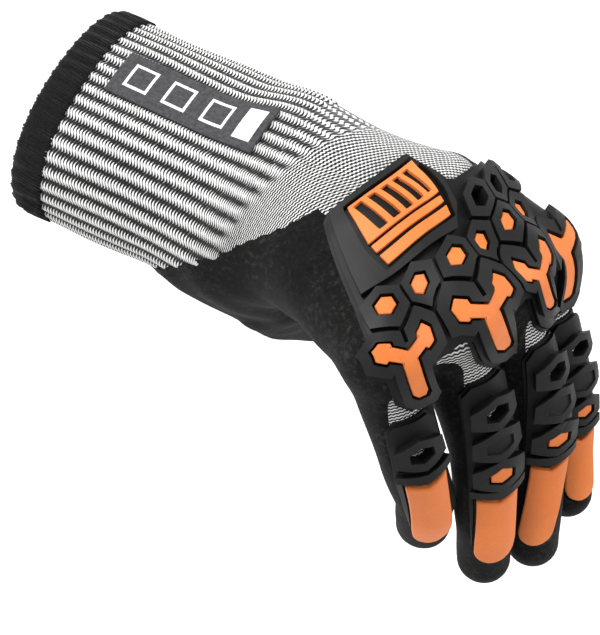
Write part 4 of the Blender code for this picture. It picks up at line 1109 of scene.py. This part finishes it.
def finger_pieces(name, place, row, black, orange):
    h = row["half"]
    end = row["pad"] - 0.3
    outline = [(-h, row["start"] + 2.5), (-h + 2.2, row["start"]), (h - 2.2, row["start"]), (h, row["start"] + 2.5),
               (h, end - 1.6), (0, end + 0.6), (-h, end - 1.6)]
    regions = [(offset_ring(outline, 0.7), 0.9), (outline, 2.0)]
    q = 4.15 * h / 6.4
    cells = [(row[k], k) for k in ("open", "plain", "plug") if row[k] is not None]
    for y, kind in cells:
        regions.append((hexagon(0, y, q, math.pi / 6, 1.22, 1.02), 4.2))
        if kind == "plain":
            regions.append((hexagon(0, y, q * 0.55, math.pi / 6, 1.15, 1.02), 3.6))
    regions.append((chevron(row["chevron"], h - 0.7, 0.9, 2.2), 4.0))
    w = row["pad_half"]
    rim = [(w, end - 2.0), (0, end - 1.0), (-w, end - 2.0)]
    for k in range(17):
        a = math.pi - math.pi * k / 16
        rim.append((w * math.cos(a), row["end"] - w + w * math.sin(a)))
    regions.insert(0, (offset_ring(rim, 1.1), 1.1))
    for y, kind in cells:
        if kind != "plain":
            regions.append((hexagon(0, y, q * 0.52, math.pi / 6, 1.1, 1.02), None if kind == "open" else 0.5))
    v, f, relief = relief_plate(regions, -0.2, place, 2.0)
    bevelled(make_object(name + "_guard_shell", v, f, black, [name + "_guard"], relief), 0.3)
    if row["plug"] is not None:
        v, f = plate([(hexagon(0, row["plug"], q * 0.52 - 0.35, math.pi / 6, 1.1, 1.02), 3.7)], 0.2, place, grid=2.0)
        bevelled(make_object(name + "_stud", v, f, orange, [name + "_plug"]), 0.25)
    w = row["pad_half"] + 0.1
    top = row["pad"] + 0.6
    pad = [(w, top - 1.6), (0, top + 0.7), (-w, top - 1.6)]
    for k in range(17):
        a = math.pi - math.pi * k / 16
        pad.append((w * math.cos(a), row["end"] - w + w * math.sin(a)))
    v, f = plate([(pad[::-1], 2.9)], -0.1, place, grid=1.6)
    bevelled(make_object(name + "_pad_shell", v, f, orange, [name + "_tip_pad"]), 1.0, 4)


def build_hem(mat, white):
    cols, rows = 240, 14
    loop = []
    # section of the band: a flattened roll from outside to inside
    for k in range(rows):
        a = 2 * math.pi * k / rows
        loop.append((5.0 - 4.9 * math.copysign(abs(math.cos(a)) ** 0.55, math.cos(a)), -0.55 + 1.25 * math.copysign(abs(math.sin(a)) ** 0.7, math.sin(a))))
    ang = np.arange(cols) * 2 * math.pi / cols
    verts = []
    for x, h in loop:
        p, ray = cast_ring(np.full(cols, x), ang)
        wave = 0.30 * np.cos(ang * RIB_COUNT) + 0.12 * np.sin(ang * 17 + x) - 0.1
        verts.append(p + ray * (h + (wave if h > -0.5 else 0 * wave))[:, None])
    v = np.concatenate(verts)
    f = []
    for k in range(rows):
        for c in range(cols):
            a, b = k * cols + c, k * cols + (c + 1) % cols
            c2, d2 = ((k + 1) % rows) * cols + (c + 1) % cols, ((k + 1) % rows) * cols + c
            f.append((a, b, c2, d2))
    v0 = v[list(f[0])]
    n = np.cross(v0[1] - v0[0], v0[2] - v0[0])
    out = v0[0] - np.array((5.0, 2.0, 1.0))
    vol = 0.0
    arr = np.array(f)
    t = np.concatenate([arr[:, [0, 1, 2]], arr[:, [0, 2, 3]]])
    vol = np.sum(np.einsum("ij,ij->i", v[t[:, 0]], np.cross(v[t[:, 1]], v[t[:, 2]])))
    if vol < 0:
        f = [q[::-1] for q in f]
    make_object("hem_band", v, f, mat, ["cuff_hem"], sharp=0)
    # overlock threads: slanted strands over the outside and round the mouth
    strands, verts, faces = 252, [], []
    side = 6
    for s in range(strands):
        a0 = 2 * math.pi * s / strands
        path_x, path_h, path_a = [], [], []
        for k in range(9):
            t = k / 8
            path_x.append(9.75 + 0.15 * math.sin(s * 2.1) - 9.75 * t)
            # the mouth end turns in over the edge
            path_h.append(0.34 + 0.28 * math.cos((a0 + 0.03 * t) * RIB_COUNT) + 0.05 * math.sin(s * 1.9) * math.sin(6 * t) + 0.15 * math.sin(math.pi * t) - 1.0 * t ** 7)
            path_a.append(a0 + 0.030 * t + 0.004 * math.sin(s * 2.7 + 5 * t))
        p, ray = cast_ring(path_x, path_a)
        c = p + ray * np.array(path_h)[:, None]
        base = len(verts)
        for k in range(9):
            tan = unit(c[min(k + 1, 8)] - c[max(k - 1, 0)])
            n1 = ray[k] - (ray[k] @ tan) * tan; n1 = unit(n1); n2 = np.cross(tan, n1)
            for m in range(side):
                b = 2 * math.pi * m / side
                verts.append(c[k] + 0.26 * n1 * math.cos(b) + 0.40 * n2 * math.sin(b))
        for k in range(8):
            for m in range(side):
                a, b = base + k * side + m, base + k * side + (m + 1) % side
                faces.append((a, b, b + side, a + side))
        faces.append(tuple(base + m for m in range(side))[::-1])
        faces.append(tuple(base + 8 * side + m for m in range(side)))
    make_object("hem_threads", np.array(verts), faces, mat, None, sharp=0)


def build_label(dark, pale):
    k = 40.0
    L = LABEL_AREA

    def place(across, along, height):
        p, ray = cast_ring(along, np.asarray(across) / k)
        return p + ray * np.asarray(height)[:, None]
    a0, a1, x0, x1 = L["angle0"] * k, L["angle1"] * k, L["x0"], L["x1"]
    ring = [(a0, x0), (a1, x0), (a1, x1), (a0, x1)]
    v, f = plate([(ring, 1.20)], -0.3, place, grid=1.5)
    make_object("cuff_patch", v, f, dark, ["cuff_label"])
    marks = []
    w = a1 - a0
    for s, e in ((0.08, 0.24), (0.34, 0.50), (0.60, 0.76)):
        y0, y1 = x0 + (x1 - x0) * s, x0 + (x1 - x0) * e
        marks.append(([(a0 + w * 0.22, y0), (a0 + w * 0.78, y0), (a0 + w * 0.78, y1), (a0 + w * 0.22, y1)],
                      [(a0 + w * 0.28, y0 + 0.8), (a0 + w * 0.72, y0 + 0.8), (a0 + w * 0.72, y1 - 0.8), (a0 + w * 0.28, y1 - 0.8)]))
    for i, (outer, inner) in enumerate(marks):
        v, f = plate([(outer, 1.30), (inner, None)], 0.9, place, grid=1.5)
        make_object("patch_box_%d" % (i + 1), v, f, pale, None)
    y = x0 + (x1 - x0) * 0.84
    v, f = plate([([(a0 + w * 0.15, y), (a0 + w * 0.85, y), (a0 + w * 0.85, y + 5.5), (a0 + w * 0.15, y + 5.5)], 1.30)], 0.9, place, grid=1.5)
    make_object("patch_block", v, f, pale, None)


def main():
    make_stage()
    black = guard_material()
    orange = rubber_material("orange_rubber", (0.60, 0.150, 0.030), (0.68, 0.180, 0.040), (0.76, 0.220, 0.055), 0.50, 0.3)
    base_v, base_t = build_knit(knit_material())
    build_coat(base_v, base_t, coat_material())
    build_guards(black, orange)
    hem = yarn_material("hem_yarn", (0.0015, 0.0015, 0.0018), (0.0085, 0.0085, 0.0090))
    build_hem(hem, None)
    build_label(yarn_material("patch_grey", (0.035, 0.035, 0.038), (0.075, 0.075, 0.08), 900),
                yarn_material("patch_pale", (0.62, 0.62, 0.62), (0.85, 0.85, 0.85), 900))


main()
